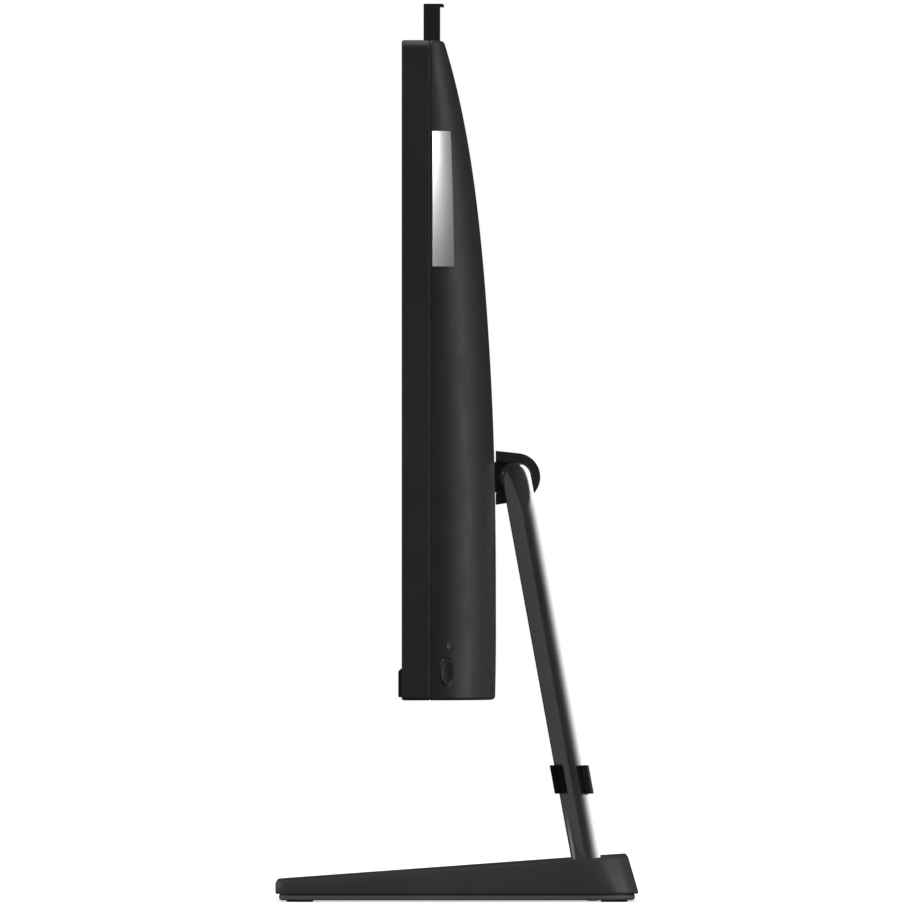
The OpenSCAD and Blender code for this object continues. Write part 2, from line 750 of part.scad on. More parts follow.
module drive_tray() color(steel) difference() {
    block([86, 164], [chassis_back, -8], [146, 254]);
    block([88, 162], [chassis_back + 1.2, 0], [148, 252]);
    block([100, 150], [-30, 0], [170, 230]);
}

module storage_drive() color(dark)
    block([90, 160], [chassis_back + 1.3, chassis_back + 8.3], [150, 250]);

module speaker_boxes() color(dark) for (s = [-1, 1]) translate([s * speaker_x, 0, 0]) difference() {
    block([-50, 50], [-26.4, -4], [105.3, 121]);
    block([-48, 48], [-24.5, -6], [107, 119]);
    block([-22, 22], [-30, -20], [107, 115.6]);
}

module speaker_drivers() color(black) for (s = [-1, 1]) translate([s * speaker_x, 0, 0]) union() {
    block([-21.9, 21.9], [-26.3, -23], [107.1, 115.5]);
    block([-12, 12], [-23, -17], [108, 114.5]);
}

module button_board() color(board_green) on_side(button_y, button_z) union() {
    translate([-8.5, -8.5, -7.6]) cube([17, 17, 1.2]);
    translate([0, 0, -6.4]) cylinder(r = 2.5, h = 2);
}

module power_button() color(black) on_side(button_y, button_z) difference() {
    union() {
        translate([0, 0, -2.6]) cylinder(d = button_d, h = 2.6);
        translate([0, 0, -3.4]) cylinder(d = button_d + 2, h = 0.9);
    }
    translate([0, 0, -0.5]) cylinder(r = 0.4, h = 1);
}

module power_led() color([0.7, 0.7, 0.72]) on_side(led_y, led_z)
    translate([0, 0, -2.2]) cylinder(r = 1.4, h = 2.2);

module panel_cable() color([0.85, 0.85, 0.86]) rotate([90, 0, 90]) translate([0, 0, -110])
    linear_extrude(20) polygon([
        [-20.7, 112], [-16.3, 112], [-16.3, 127], [-13.7, 127], [-13.7, 131], [-13.2, 131],
        [-13.2, 126.5], [-15.8, 126.5], [-15.8, 111.5], [-20.7, 111.5]
    ]);

// ---------------------------------------------------------------- ports

dc_x = -52;
audio_x = -38;
hdmi_x = -22;
usb_x = [-1, 17];
lan_x = 41;

module io_bracket() color(steel) difference() {
    block([0.3 - io_half_w, io_half_w - 0.3], [io_face_y - 0.8, io_face_y], [io_z[0] + 0.3, io_z[1] - 0.3]);
    y_rod(dc_x, io_mid_z, 5.1, [0, 20]);
    y_rod(audio_x, io_mid_z, 3.1, [0, 20]);
    block([hdmi_x - 7.8, hdmi_x + 7.8], [0, 20], [io_mid_z - 3.1, io_mid_z + 3.1]);
    for (x = usb_x) block([x - 6.8, x + 6.8], [0, 20], [io_mid_z - 7.8, io_mid_z + 7.8]);
    block([lan_x - 8.3, lan_x + 8.3], [0, 20], [io_mid_z - 6.9, io_mid_z + 6.9]);
}

module dc_jack() color(black) union() {
    difference() {
        y_rod(dc_x, io_mid_z, 5, [board_back, port_y]);
        y_rod(dc_x, io_mid_z, 3.2, [0, 20]);
    }
    y_rod(dc_x, io_mid_z, 0.9, [-1, port_y - 1]);
}

module audio_jack() color(black) difference() {
    y_rod(audio_x, io_mid_z, 3, [board_back, port_y]);
    y_rod(audio_x, io_mid_z, 1.8, [port_y - 14, 20]);
}

module hdmi_port() color(silver) difference() {
    block([hdmi_x - 7.6, hdmi_x + 7.6], [board_back, port_y], [io_mid_z - 2.9, io_mid_z + 2.9]);
    block([hdmi_x - 7, hdmi_x + 7], [1, 20], [io_mid_z - 1, io_mid_z + 2.3]);
    block([hdmi_x - 5.5, hdmi_x + 5.5], [1, 20], [io_mid_z - 2.3, io_mid_z]);
}

module usb_ports() color(silver) for (x = usb_x) union() {
    difference() {
        block([x - 6.6, x + 6.6], [board_back, port_y], [io_mid_z - 7.6, io_mid_z + 7.6]);
        for (z = [-3.7, 3.7])
            block([x - 6, x + 6], [0, 20], [io_mid_z + z - 2.5, io_mid_z + z + 2.5]);
    }
    for (z = [-3.7, 3.7])
        block([x - 5.5, x + 5.5], [-0.1, port_y - 1], [io_mid_z + z + 0.1, io_mid_z + z + 1.9]);
}

module lan_port() color(silver) difference() {
    block([lan_x - 8.1, lan_x + 8.1], [board_back, port_y], [io_mid_z - 6.7, io_mid_z + 6.7]);
    block([lan_x - 5.9, lan_x + 5.9], [-2, 20], [io_mid_z - 3, io_mid_z + 4.8]);
    block([lan_x - 3, lan_x + 3], [-2, 20], [io_mid_z - 5, io_mid_z]);
}

// ---------------------------------------------------------------- pop-up camera

module camera_guide() color(dark) difference() {
    block([-camera_w / 2 - 2, camera_w / 2 + 2], [chassis_back + 0.1, -7], [395, 428]);
    block([-camera_w / 2 - slide_gap, camera_w / 2 + slide_gap],
          [camera_y[0] - slide_gap, camera_y[1] + slide_gap], [390, 440]);
}

module camera_housing() color(black) difference() {
    block([-camera_w / 2, camera_w / 2], camera_y, [camera_low, camera_top - cap_t]);
    block([2 - camera_w / 2, camera_w / 2 - 2], [camera_y[0] + 2, camera_y[1] - 1.2],
          [camera_low - 1, camera_top - cap_t - 1.5]);
    block([-17, 17], [camera_y[0] - 1, camera_y[0] + 0.9], [lens_z - 5, lens_z + 5]);
    y_rod(0, lens_z, 4.1, [camera_y[0], camera_y[0] + 3]);
}

module camera_window() color([0.02, 0.02, 0.03])
    block([-16.9, 16.9], [camera_y[0], camera_y[0] + 0.85], [lens_z - 4.9, lens_z + 4.9]);

module camera_lens() color([0.05, 0.05, 0.1]) union() {
    y_rod(0, lens_z, 4, [camera_y[0] + 0.9, camera_y[0] + 3]);
    y_rod(0, lens_z, 3, [camera_y[0] + 3, -11.2]);
}

module camera_board() color(board_green)
    block([-18, 18], [-11.2, -10.2], [lens_z - 18, lens_z + 5]);

module camera_cap() color(black) rotate([90, 0, 90]) translate([0, 0, -camera_w / 2])
    linear_extrude(camera_w) polygon([
        [camera_y[0], camera_top - cap_t], [cap_rear_y, camera_top - cap_t], [cap_rear_y, camera_top - 0.7],
        [cap_rear_y - 0.7, camera_top], [camera_y[0] + 0.3, camera_top], [camera_y[0], camera_top - 0.3]
    ]);

// ---------------------------------------------------------------- nodes

base_shell();
base_plate();
base_weight();
base_feet();
base_screws();
leg_sockets();
leg_screws();
stand_tube();
cable_clip();
hinge_housing();
hinge_core();
hinge_bushes();
mount_bracket();
hinge_screws();
back_cover();
badge_plate();
front_frame();
lcd_panel();
backlight_module();
panel_board();
speaker_bar();
chassis();
mainboard();
processor();
cold_plate();
heat_pipes();
fin_stack();
fan_housing();
fan_rotor();
memory_modules();
memory_sockets();
ssd_module();
wireless_card();
antennas();
coin_cell();
storage_drive();
drive_tray();
speaker_boxes();
speaker_drivers();
button_board();
power_led();
power_button();
io_bracket();
dc_jack();
audio_jack();
hdmi_port();
usb_ports();
lan_port();
camera_guide();
camera_housing();
camera_window();
camera_lens();
camera_board();
camera_cap();
panel_cable();
cover_screws();
board_screws();
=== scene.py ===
"""Looks of the all-in-one desktop computer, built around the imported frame.

Lengths are in millimetres until a mesh is made; +Z is up and the screen faces -Y.
"""

import json
import math

import bmesh
import bpy
from mathutils import Matrix, Vector

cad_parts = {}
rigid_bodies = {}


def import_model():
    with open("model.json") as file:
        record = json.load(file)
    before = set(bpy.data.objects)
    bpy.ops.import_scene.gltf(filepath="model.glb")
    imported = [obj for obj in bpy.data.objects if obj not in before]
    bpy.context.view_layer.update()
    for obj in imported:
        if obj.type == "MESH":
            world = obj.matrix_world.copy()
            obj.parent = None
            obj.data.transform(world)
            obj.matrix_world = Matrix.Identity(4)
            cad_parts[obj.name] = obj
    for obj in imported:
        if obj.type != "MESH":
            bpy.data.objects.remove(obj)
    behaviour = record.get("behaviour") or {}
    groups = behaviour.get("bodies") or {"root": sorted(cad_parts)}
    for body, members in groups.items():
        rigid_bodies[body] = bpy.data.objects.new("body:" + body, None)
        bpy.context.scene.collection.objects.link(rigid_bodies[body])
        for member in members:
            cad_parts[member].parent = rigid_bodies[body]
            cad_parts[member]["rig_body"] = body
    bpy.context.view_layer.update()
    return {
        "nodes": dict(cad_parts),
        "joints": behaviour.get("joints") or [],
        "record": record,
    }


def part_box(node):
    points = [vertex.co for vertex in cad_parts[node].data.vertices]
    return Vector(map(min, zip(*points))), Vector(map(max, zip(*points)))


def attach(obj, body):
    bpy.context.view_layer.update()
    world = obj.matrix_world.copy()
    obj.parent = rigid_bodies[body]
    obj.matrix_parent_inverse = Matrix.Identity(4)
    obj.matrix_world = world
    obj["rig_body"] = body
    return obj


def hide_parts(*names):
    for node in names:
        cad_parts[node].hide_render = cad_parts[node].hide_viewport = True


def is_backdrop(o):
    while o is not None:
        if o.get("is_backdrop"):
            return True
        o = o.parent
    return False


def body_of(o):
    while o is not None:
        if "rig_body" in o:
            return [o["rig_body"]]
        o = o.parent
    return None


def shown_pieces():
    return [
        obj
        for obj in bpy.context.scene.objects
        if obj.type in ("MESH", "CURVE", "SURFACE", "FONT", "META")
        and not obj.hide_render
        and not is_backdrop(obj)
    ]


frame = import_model()
MM = 0.001


def corners(node):
    """Lowest and highest corner of a CAD node, in millimetres."""
    low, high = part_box(node)
    return low / MM, high / MM


def solids_of(node):
    """Low and high corners of each separate solid of a node, in millimetres."""
    mesh = frame["nodes"][node].data
    b = bmesh.new()
    b.from_mesh(mesh)
    bmesh.ops.remove_doubles(b, verts=b.verts, dist=1e-6)
    seen, spots = set(), []
    for v in b.verts:
        if v in seen:
            continue
        group, queue = [], [v]
        seen.add(v)
        while queue:
            w = queue.pop()
            group.append(w.co.copy())
            for e in w.link_edges:
                o = e.other_vert(w)
                if o not in seen:
                    seen.add(o)
                    queue.append(o)
        low_corner = Vector(min(p[i] for p in group) for i in range(3))
        high_corner = Vector(max(p[i] for p in group) for i in range(3))
        spots.append((low_corner / MM, high_corner / MM))
    b.free()
    return spots


# ---------------------------------------------------------------- dimensions from the frame

JOINTS = {j["name"]: j for j in frame["joints"]}
low, high = corners("front_frame")
HALF_W, FRONT, SEAM, LIFT, TOP = high.x, low.y, high.y, low.z, high.z
AXIS_Y, AXIS_Z = (v / MM for v in JOINTS["display_tilt"]["pos_m"][1:])

# Back cover: its depth below the top edge, as in the CAD source
COVER_DEPTH = 33.6
COVER_TOP_DEPTH = 7.2
RIM = 0.6
FADE = 82
SHOULDER = 218
TAPER = 0.0004
TAPER_FROM = 300
COVER_WALL = 2
TOP_R = 4.2
BOTTOM_R = 2
SEAM_CHAMFER = 0.25

# Stand
TUBE_R = 7.25
TUBE_WALL = 1.6
BEND_R = 24
LEG_X = 80
leg_direction = Vector(JOINTS["clip_slide"]["axis"])
LEAN = math.asin(-leg_direction.y)
LEG_LENGTH = (AXIS_Z - 6.5) / math.cos(LEAN)


# ---------------------------------------------------------------- mesh tools

def arc(x, y, r, start, end, steps):
    """Points of an arc, with angles in degrees."""
    angles = [math.radians(start + (end - start) * i / steps) for i in range(steps + 1)]
    return [(x + r * math.cos(a), y + r * math.sin(a)) for a in angles]


def circle(x, y, r, steps):
    return arc(x, y, r, 0, 360, steps)[:-1]


def rounded(x0, x1, y0, y1, radii, steps=8):
    """Rectangle with round corners, counter-clockwise; the radii start at corner (x0, y0)."""
    spots = [(x0, y0, 1, 1), (x1, y0, -1, 1), (x1, y1, -1, -1), (x0, y1, 1, -1)]
    points = []
    for k, ((x, y, sx, sy), r) in enumerate(zip(spots, radii)):
        start = 180 + 90 * k
        points += arc(x + sx * r, y + sy * r, r, start, start + 90, steps)
    return points


def at_x(points, x):
    return [(x, p[0], p[1]) for p in points]


def at_y(points, y):
    return [(p[0], y, p[1]) for p in points]


def at_z(points, z):
    return [(p[0], p[1], z) for p in points]


def loft(rings, wrap=False):
    """Skin over rings of equal length; wrap joins the last ring to the first, else both ends are capped."""
    n, m = len(rings[0]), len(rings)
    verts = [p for ring in rings for p in ring]
    faces = []
    for k in range(m if wrap else m - 1):
        a, b = k * n, (k + 1) % m * n
        faces += [(a + i, a + (i + 1) % n, b + (i + 1) % n, b + i) for i in range(n)]
    if not wrap:
        faces += [tuple(range(n))[::-1], tuple(range((m - 1) * n, m * n))]
    return verts, faces


def extruded(outline, place, first, last):
    """Solid between two copies of an outline; place is at_x, at_y or at_z."""
    return loft([place(outline, first), place(outline, last)])


def box(x, y, z, r=0.0):
    """Box between three pairs, with corners rounded by r in the XZ plane."""
    outline = rounded(x[0], x[1], z[0], z[1], [r] * 4, 5) if r else \
        [(x[0], z[0]), (x[1], z[0]), (x[1], z[1]), (x[0], z[1])]
    return extruded(outline, at_y, *y)


def rod(x, z, r, y, steps=32):
    """Cylinder along Y."""
    return extruded(circle(x, z, r, steps), at_y, *y)


def turned(profile, steps=48):
    """Solid turned about Z from (radius, height) pairs, from its lower middle to its upper middle."""
    return loft([at_z(circle(0, 0, max(r, 1e-3), steps), z) for r, z in profile])


def join(*solids):
    verts, faces = [], []
    for v, f in solids:
        base = len(verts)
        verts += v
        faces += [tuple(i + base for i in face) for face in f]
    return verts, faces


def moved(solid, matrix):
    return [matrix @ Vector(v) for v in solid[0]], solid[1]


def shifted(solid, x, y):
    return moved(solid, Matrix.Translation((x, y, 0)))


def toward_rear(x, y, z):
    """Matrix that stands +Z along +Y at a place."""
    return Matrix.Translation((x, y, z)) @ Matrix.Rotation(math.radians(-90), 4, "X")


def new_object(name, solid):
    mesh = bpy.data.meshes.new(name)
    mesh.from_pydata([Vector(v) * MM for v in solid[0]], [], solid[1])
    b = bmesh.new()
    b.from_mesh(mesh)
    bmesh.ops.remove_doubles(b, verts=b.verts, dist=1e-7)
    bmesh.ops.recalc_face_normals(b, faces=b.faces)
    b.to_mesh(mesh)
    b.free()
    obj = bpy.data.objects.new(name, mesh)
    bpy.context.scene.collection.objects.link(obj)
    return obj


def bake(obj):
    """Applies the modifiers of a piece to its mesh."""
    graph = bpy.context.evaluated_depsgraph_get()
    mesh = bpy.data.meshes.new_from_object(obj.evaluated_get(graph))
    obj.modifiers.clear()
    obj.data = mesh


def carve(obj, solid, how="DIFFERENCE"):
    """Cuts a solid out of a piece, or joins it on."""
    tool = new_object("tool", solid)
    mod = obj.modifiers.new("carve", "BOOLEAN")
    mod.operation, mod.solver, mod.object = how, "MANIFOLD", tool
    bake(obj)
    bpy.data.objects.remove(tool)


def smooth(obj, angle=30):
    obj.data.shade_smooth()
    obj.data.set_sharp_from_angle(angle=math.radians(angle))


def bevel(obj, width, segments=3, angle=35):
    mod = obj.modifiers.new("bevel", "BEVEL")
    mod.width, mod.segments, mod.limit_method = width * MM, segments, "ANGLE"
    mod.angle_limit, mod.harden_normals = math.radians(angle), True
    mod.miter_outer = "MITER_ARC"


def finish_piece(obj, body, slot, nodes=(), materials=None):
    """Gives a piece its body, slot and materials, and hides the CAD nodes that it stands for."""
    obj.data.materials.clear()
    for material in materials or [mats[slot]]:
        obj.data.materials.append(material)
    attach(obj, body)
    if nodes:
        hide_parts(*nodes)
    return obj


def paint(obj, index, test):
    """Gives material number index to the faces whose centre, in millimetres, passes the test."""
    for face in obj.data.polygons:
        if test(face.center / MM, face.normal):
            face.material_index = index


# ---------------------------------------------------------------- materials

def wire(tree, source, target):
    tree.links.new(source, target)


def scaled_noise(tree, scale, stretch=(1, 1, 1), detail=3.0):
    """Noise on object coordinates, scale per metre, stretched per axis."""
    place = tree.nodes.new("ShaderNodeTexCoord")
    mapping = tree.nodes.new("ShaderNodeMapping")
    mapping.inputs["Scale"].default_value = stretch
    noise = tree.nodes.new("ShaderNodeTexNoise")
    noise.inputs["Scale"].default_value = scale
    noise.inputs["Detail"].default_value = detail
    wire(tree, place.outputs["Object"], mapping.inputs["Vector"])
    wire(tree, mapping.outputs["Vector"], noise.inputs["Vector"])
    return noise.outputs["Fac"]


def ranged(tree, value, low_value, high_value):
    """Maps a noise's middle range to low_value … high_value."""
    node = tree.nodes.new("ShaderNodeMapRange")
    node.inputs["From Min"].default_value, node.inputs["From Max"].default_value = 0.3, 0.7
    node.inputs["To Min"].default_value, node.inputs["To Max"].default_value = low_value, high_value
    wire(tree, value, node.inputs["Value"])
    return node.outputs["Result"]


def blended(tree, share, first, second):
    """Colour between two, by share; the first may also be another node's output."""
    node = tree.nodes.new("ShaderNodeMix")
    node.data_type = "RGBA"
    if isinstance(first, (tuple, list)):
        node.inputs["A"].default_value = (*first, 1)
    else:
        wire(tree, first, node.inputs["A"])
    node.inputs["B"].default_value = (*second, 1)
    wire(tree, share, node.inputs["Factor"])
    return node.outputs["Result"]


mats = {}


def surface(name, colour, rough, metal=0.0, grain=0.4, bump=0.01, vary=0.12, rough_vary=0.05,
            stretch=(1, 1, 1), **sockets):
    """Material with grain (mm) as bump (mm), slow colour change and uneven gloss."""
    mat = bpy.data.materials.new(name)
    mat.use_nodes = True
    tree = mat.node_tree
    shader = tree.nodes["Principled BSDF"]
    shader.inputs["Metallic"].default_value = metal
    slow = scaled_noise(tree, 14.0, detail=4.0)
    darker = [c * (1 - vary) for c in colour]
    lighter = [min(1.0, c * (1 + vary)) for c in colour]
    wire(tree, blended(tree, ranged(tree, slow, 0, 1), darker, lighter), shader.inputs["Base Color"])
    fine = scaled_noise(tree, 1 / (grain * MM), stretch)
    uneven = scaled_noise(tree, 60.0, stretch, 5.0)
    wire(tree, ranged(tree, uneven, max(0.02, rough - rough_vary), rough + rough_vary),
         shader.inputs["Roughness"])
    lumps = tree.nodes.new("ShaderNodeBump")
    lumps.inputs["Strength"].default_value = 1.0
    lumps.inputs["Distance"].default_value = bump * MM
    wire(tree, fine, lumps.inputs["Height"])
    wire(tree, lumps.outputs["Normal"], shader.inputs["Normal"])
    for key, value in sockets.items():
        shader.inputs[key.replace("_", " ")].default_value = value
    mats[name] = mat
    return mat


def board_material(name):
    """Circuit board: solder mask over a fine raster of tracks."""
    mat = surface(name, (0.012, 0.085, 0.045), 0.32, grain=0.5, bump=0.01)
    tree = mat.node_tree
    shader = tree.nodes["Principled BSDF"]
    place = tree.nodes.new("ShaderNodeTexCoord")
    tracks = tree.nodes.new("ShaderNodeTexBrick")
    tracks.inputs["Scale"].default_value = 120.0
    tracks.inputs["Mortar Size"].default_value = 0.03
    tracks.inputs["Color1"].default_value = (0.012, 0.085, 0.045, 1)
    tracks.inputs["Color2"].default_value = (0.010, 0.070, 0.038, 1)
    tracks.inputs["Mortar"].default_value = (0.03, 0.16, 0.08, 1)
    turn = tree.nodes.new("ShaderNodeMapping")
    turn.inputs["Rotation"].default_value = (math.radians(90), 0, 0)
    wire(tree, place.outputs["Object"], turn.inputs["Vector"])
    wire(tree, turn.outputs["Vector"], tracks.inputs["Vector"])
    wire(tree, tracks.outputs["Color"], shader.inputs["Base Color"])
    return mat


surface("shell_black", (0.0205, 0.0205, 0.0212), 0.34, grain=0.35, bump=0.012)
surface("frame_black", (0.029, 0.029, 0.0298), 0.36, grain=0.3, bump=0.008)
surface("bar_black", (0.022, 0.022, 0.0227), 0.4, grain=0.3, bump=0.012)
surface("base_black", (0.062, 0.062, 0.0632), 0.34, grain=0.4, bump=0.014)
surface("plate_black", (0.145, 0.145, 0.147), 0.45, grain=0.5, bump=0.02)
surface("tube_silver", (0.78, 0.785, 0.8), 0.2, 1.0, grain=0.25, bump=0.0006, vary=0.02, rough_vary=0.03)
surface("badge_silver", (0.8, 0.8, 0.81), 0.28, 1.0, grain=0.12, bump=0.0001, vary=0.02, rough_vary=0.005)
surface("foot_rubber", (0.014, 0.014, 0.014), 0.75, grain=0.6, bump=0.04)
surface("clip_black", (0.0065, 0.0065, 0.0068), 0.34, grain=0.3, bump=0.006)
surface("hinge_black", (0.032, 0.032, 0.0327), 0.4, grain=0.3, bump=0.01)
surface("hinge_dark", (0.03, 0.03, 0.0305), 0.45, grain=0.3, bump=0.01)
surface("steel_plate", (0.52, 0.53, 0.55), 0.36, 1.0, grain=1.2, bump=0.006, vary=0.08, rough_vary=0.1)
surface("weight_steel", (0.2, 0.2, 0.21), 0.6, 1.0, grain=1.5, bump=0.06, vary=0.2)
surface("screw_steel", (0.06, 0.06, 0.065), 0.32, 1.0, grain=0.3, bump=0.005)
surface("bush_steel", (0.45, 0.46, 0.48), 0.25, 1.0, grain=0.2, bump=0.003, stretch=(0.1, 1, 1))
surface("panel_glass", (0.0045, 0.0045, 0.006), 0.22, grain=0.08, bump=0.0006,
        rough_vary=0.02, Coat_Weight=0.35, Coat_Roughness=0.08)
surface("tray_metal", (0.62, 0.63, 0.64), 0.3, 1.0, grain=1.0, bump=0.004)
board_material("board")
surface("part_black", (0.02, 0.02, 0.021), 0.5, grain=0.3, bump=0.012)
surface("chip_metal", (0.6, 0.6, 0.6), 0.33, 1.0, grain=0.4, bump=0.004)
surface("copper", (0.68, 0.33, 0.2), 0.26, 1.0, grain=0.3, bump=0.003, vary=0.1)
surface("fin_metal", (0.7, 0.71, 0.72), 0.3, 1.0, grain=0.3, bump=0.003)
surface("antenna_foil", (0.75, 0.58, 0.28), 0.3, 1.0, grain=0.6, bump=0.01)
surface("cell_steel", (0.68, 0.69, 0.7), 0.2, 1.0, grain=0.3, bump=0.003)
surface("led", (0.36, 0.37, 0.39), 0.3, grain=0.2, bump=0.002)
surface("button_black", (0.0155, 0.0155, 0.0162), 0.34, grain=0.3, bump=0.006)
surface("port_metal", (0.64, 0.65, 0.67), 0.24, 1.0, grain=0.3, bump=0.003)
surface("camera_black", (0.019, 0.019, 0.0195), 0.4, grain=0.3, bump=0.008)
surface("camera_glass", (0.004, 0.004, 0.006), 0.08, grain=0.3, bump=0.0004,
        rough_vary=0.02, Coat_Weight=0.6, Coat_Roughness=0.03)
surface("flat_cable", (0.72, 0.73, 0.75), 0.45, grain=0.3, bump=0.01)
ICON_GREY = surface("icon_grey", (0.2, 0.2, 0.205), 0.4, grain=0.2, bump=0.002)
SOCKET_BLUE = surface("socket_blue", (0.02, 0.08, 0.34), 0.4, grain=0.3, bump=0.006)
GOLD = surface("contact_gold", (0.83, 0.62, 0.28), 0.22, 1.0, grain=0.2, bump=0.002)


# ---------------------------------------------------------------- back cover

def depth(below):
    """Depth of the cover behind the seam, a distance below the display's top."""
    t = max(0.0, below)
    full = COVER_DEPTH - (COVER_DEPTH - COVER_TOP_DEPTH) * math.exp(-t / FADE - (t / SHOULDER) ** 5)
    return full - TAPER * max(0.0, t - TAPER_FROM) ** 2


def side_power(d):
    """Exponent of the cover's curve across its width; it sets the slope at the side edge."""
    return (0.45 + 0.0065 * d) * HALF_W / (d - RIM)


def back_y(x, z):
    """Y of the cover's back surface."""
    d = depth(TOP - z)
    return SEAM + RIM + (d - RIM) * (1 - min(1.0, abs(x) / HALF_W) ** side_power(d))


def back_normal(x, z, step=0.05):
    """Normal of the back surface, from its slopes."""
    slope_x = (back_y(x + step, z) - back_y(x - step, z)) / (2 * step)
    slope_z = (back_y(x, z + step) - back_y(x, z - step)) / (2 * step)
    return Vector((-slope_x, 1, -slope_z)).normalized()


def side_point(y, z):
    """Point of the cover's +X side with a given Y and Z, and the surface's level normal there."""
    d = depth(TOP - z)
    x = HALF_W * (1 - (y - SEAM - RIM) / (d - RIM)) ** (1 / side_power(d))
    slope = back_y(x - 0.5, z) - back_y(x + 0.5, z)
    return Vector((x, y, z)), Vector((math.sin(math.atan(slope)), math.cos(math.atan(slope)), 0))


def on_side(y, z):
    """Matrix that stands +Z on the cover's side surface."""
    point, normal = side_point(y, z)
    return Matrix.Translation(point) @ normal.to_track_quat("Z", "Y").to_matrix().to_4x4()


def corner_drop(x, half_w, r):
    """How far a round corner of radius r pulls the edge in at x."""
    reach = abs(x) - (half_w - r)
    return r - math.sqrt(max(0.0, r * r - reach * reach)) if reach > 0 else 0.0


def bend(a, corner, b, steps):
    """Points of a rounded corner from a to b."""
    points = []
    for i in range(1, steps):
        t = i / steps
        points.append(tuple((1 - t) ** 2 * p + 2 * t * (1 - t) * q + t * t * r
                            for p, q, r in zip(a, corner, b)))
    return points


STATIONS = 70
ROUND_TOP = 1.5
ROUND_BOTTOM = 2.2


def cover_section(x, half_w, inset, sink, count):
    """Section of the bulge at x as (y, z) points, from its top seam point to its bottom one."""
    top = TOP - inset - corner_drop(x, half_w, max(0.5, TOP_R - inset))
    bottom = LIFT + inset + corner_drop(x, half_w, max(0.5, BOTTOM_R - inset))

    def surface_y(z):
        return max(SEAM + 0.35, back_y(x * HALF_W / half_w, z) - sink)

    start = SEAM + (SEAM_CHAMFER if inset == 0 else 0)
    top_r = min(ROUND_TOP, 0.45 * (surface_y(top) - start))
    bottom_r = min(ROUND_BOTTOM, 0.45 * (surface_y(bottom) - start))
    first, last = top - top_r, bottom + bottom_r
    back = [first - (first - last) * (i / count) ** 1.3 for i in range(count + 1)]
    upper = (surface_y(top) - top_r, top), (surface_y(top), top), (surface_y(first), first)
    lower = (surface_y(last), last), (surface_y(bottom), bottom), (surface_y(bottom) - bottom_r, bottom)
    return [(start, top), upper[0], *bend(*upper, 6), *((surface_y(z), z) for z in back),
            *bend(*lower, 6), lower[2], (start, bottom)]


def cover_shell():
    """The bulged shell: outer and inner skins joined round the seam."""
    verts, faces, seams = [], [], []
    for inset, sink, count in ((0, 0, 90), (COVER_WALL, COVER_WALL * 1.15, 30)):
        half_w = HALF_W - inset
        base = len(verts)
        size = 0
        for i in range(-STATIONS, STATIONS + 1):
            x = half_w * math.sin(math.pi / 2 * i / STATIONS)
            points = cover_section(x, half_w, inset, sink, count)
            size = len(points)
            verts += at_x(points, x)
        rows = 2 * STATIONS + 1
        for i in range(rows - 1):
            for k in range(size - 1):
                a = base + i * size + k
                faces.append((a, a + 1, a + size + 1, a + size))
        faces.append(tuple(base + k for k in range(size)))
        faces.append(tuple(base + (rows - 1) * size + k for k in range(size)))
        loop = [base + i * size for i in range(rows)]
        loop += [base + i * size + size - 1 for i in range(rows - 1, -1, -1)]
        if inset == 0:
            ring = len(verts)
            shrink = (HALF_W - SEAM_CHAMFER) / HALF_W
            for j, v in enumerate(loop):
                x, z = verts[v][0], verts[v][2]
                verts.append((x * shrink, SEAM, z - SEAM_CHAMFER if j < rows else z + SEAM_CHAMFER))
            n = len(loop)
            faces += [(loop[j], loop[(j + 1) % n], ring + (j + 1) % n, ring + j) for j in range(n)]
            loop = [ring + j for j in range(n)]
        seams.append(loop)
    outer, inner = seams
    n = len(outer)
    faces += [(outer[j], outer[(j + 1) % n], inner[(j + 1) % n], inner[j]) for j in range(n)]
    return verts, faces


def slot_cutter(x, z, width, y=(-12, 30)):
    """Upright slot with round ends, through the cover."""
    r = width / 2
    outline = arc(x, z[0] + r, r, 180, 360, 8) + arc(x, z[1] - r, r, 0, 180, 8)
    return extruded(outline, at_y, *y)


def camera_slot(y0, y1):
    """Cutter for the camera's way out through the top."""
    return box((camera_low.x - 0.3, camera_high.x + 0.3), (y0, y1), (400, TOP + 5))


VENT_PITCH = 12
VENT_W = 3.4
TOP_VENT_Z = (398, 421)
LOW_VENT_Z = (160, 188)
LOW_VENT_X = 84
vent_spots = [(i * VENT_PITCH, TOP_VENT_Z) for i in range(-15, 16)]
vent_spots += [(s * (LOW_VENT_X + i * VENT_PITCH), LOW_VENT_Z) for i in range(6) for s in (-1, 1)]
SECURITY_X, SECURITY_Z = (130, 133.4), (130, 137)

BUTTON_Y = -5.1
button_low, button_high = corners("power_button")
BUTTON_Z = (button_low.z + button_high.z) / 2
BUTTON_R = 6.9
BUTTON_GAP = 0.55
led_low, led_high = corners("power_led")
LED_Y, LED_Z = -4.3, (led_low.z + led_high.z) / 2
LED_HOLE_R = 1.45
COVER_SCREWS = [((a.x + b.x) / 2, (a.z + b.z) / 2) for a, b in solids_of("cover_screws")]
camera_low, camera_high = corners("camera_housing")
bracket_low, bracket_high = corners("io_bracket")
BAY_HALF_W = bracket_high.x + 0.3
BAY_Z = (bracket_low.z - 0.3, bracket_high.z + 0.3)
BAY_FLOOR = bracket_high.y
BAY_WALL = 1.5
BAY_REACH = 18.5
BOSS_R = 4.5
BOSS_FRONT = -18.2
core_low, core_high = corners("hinge_core")


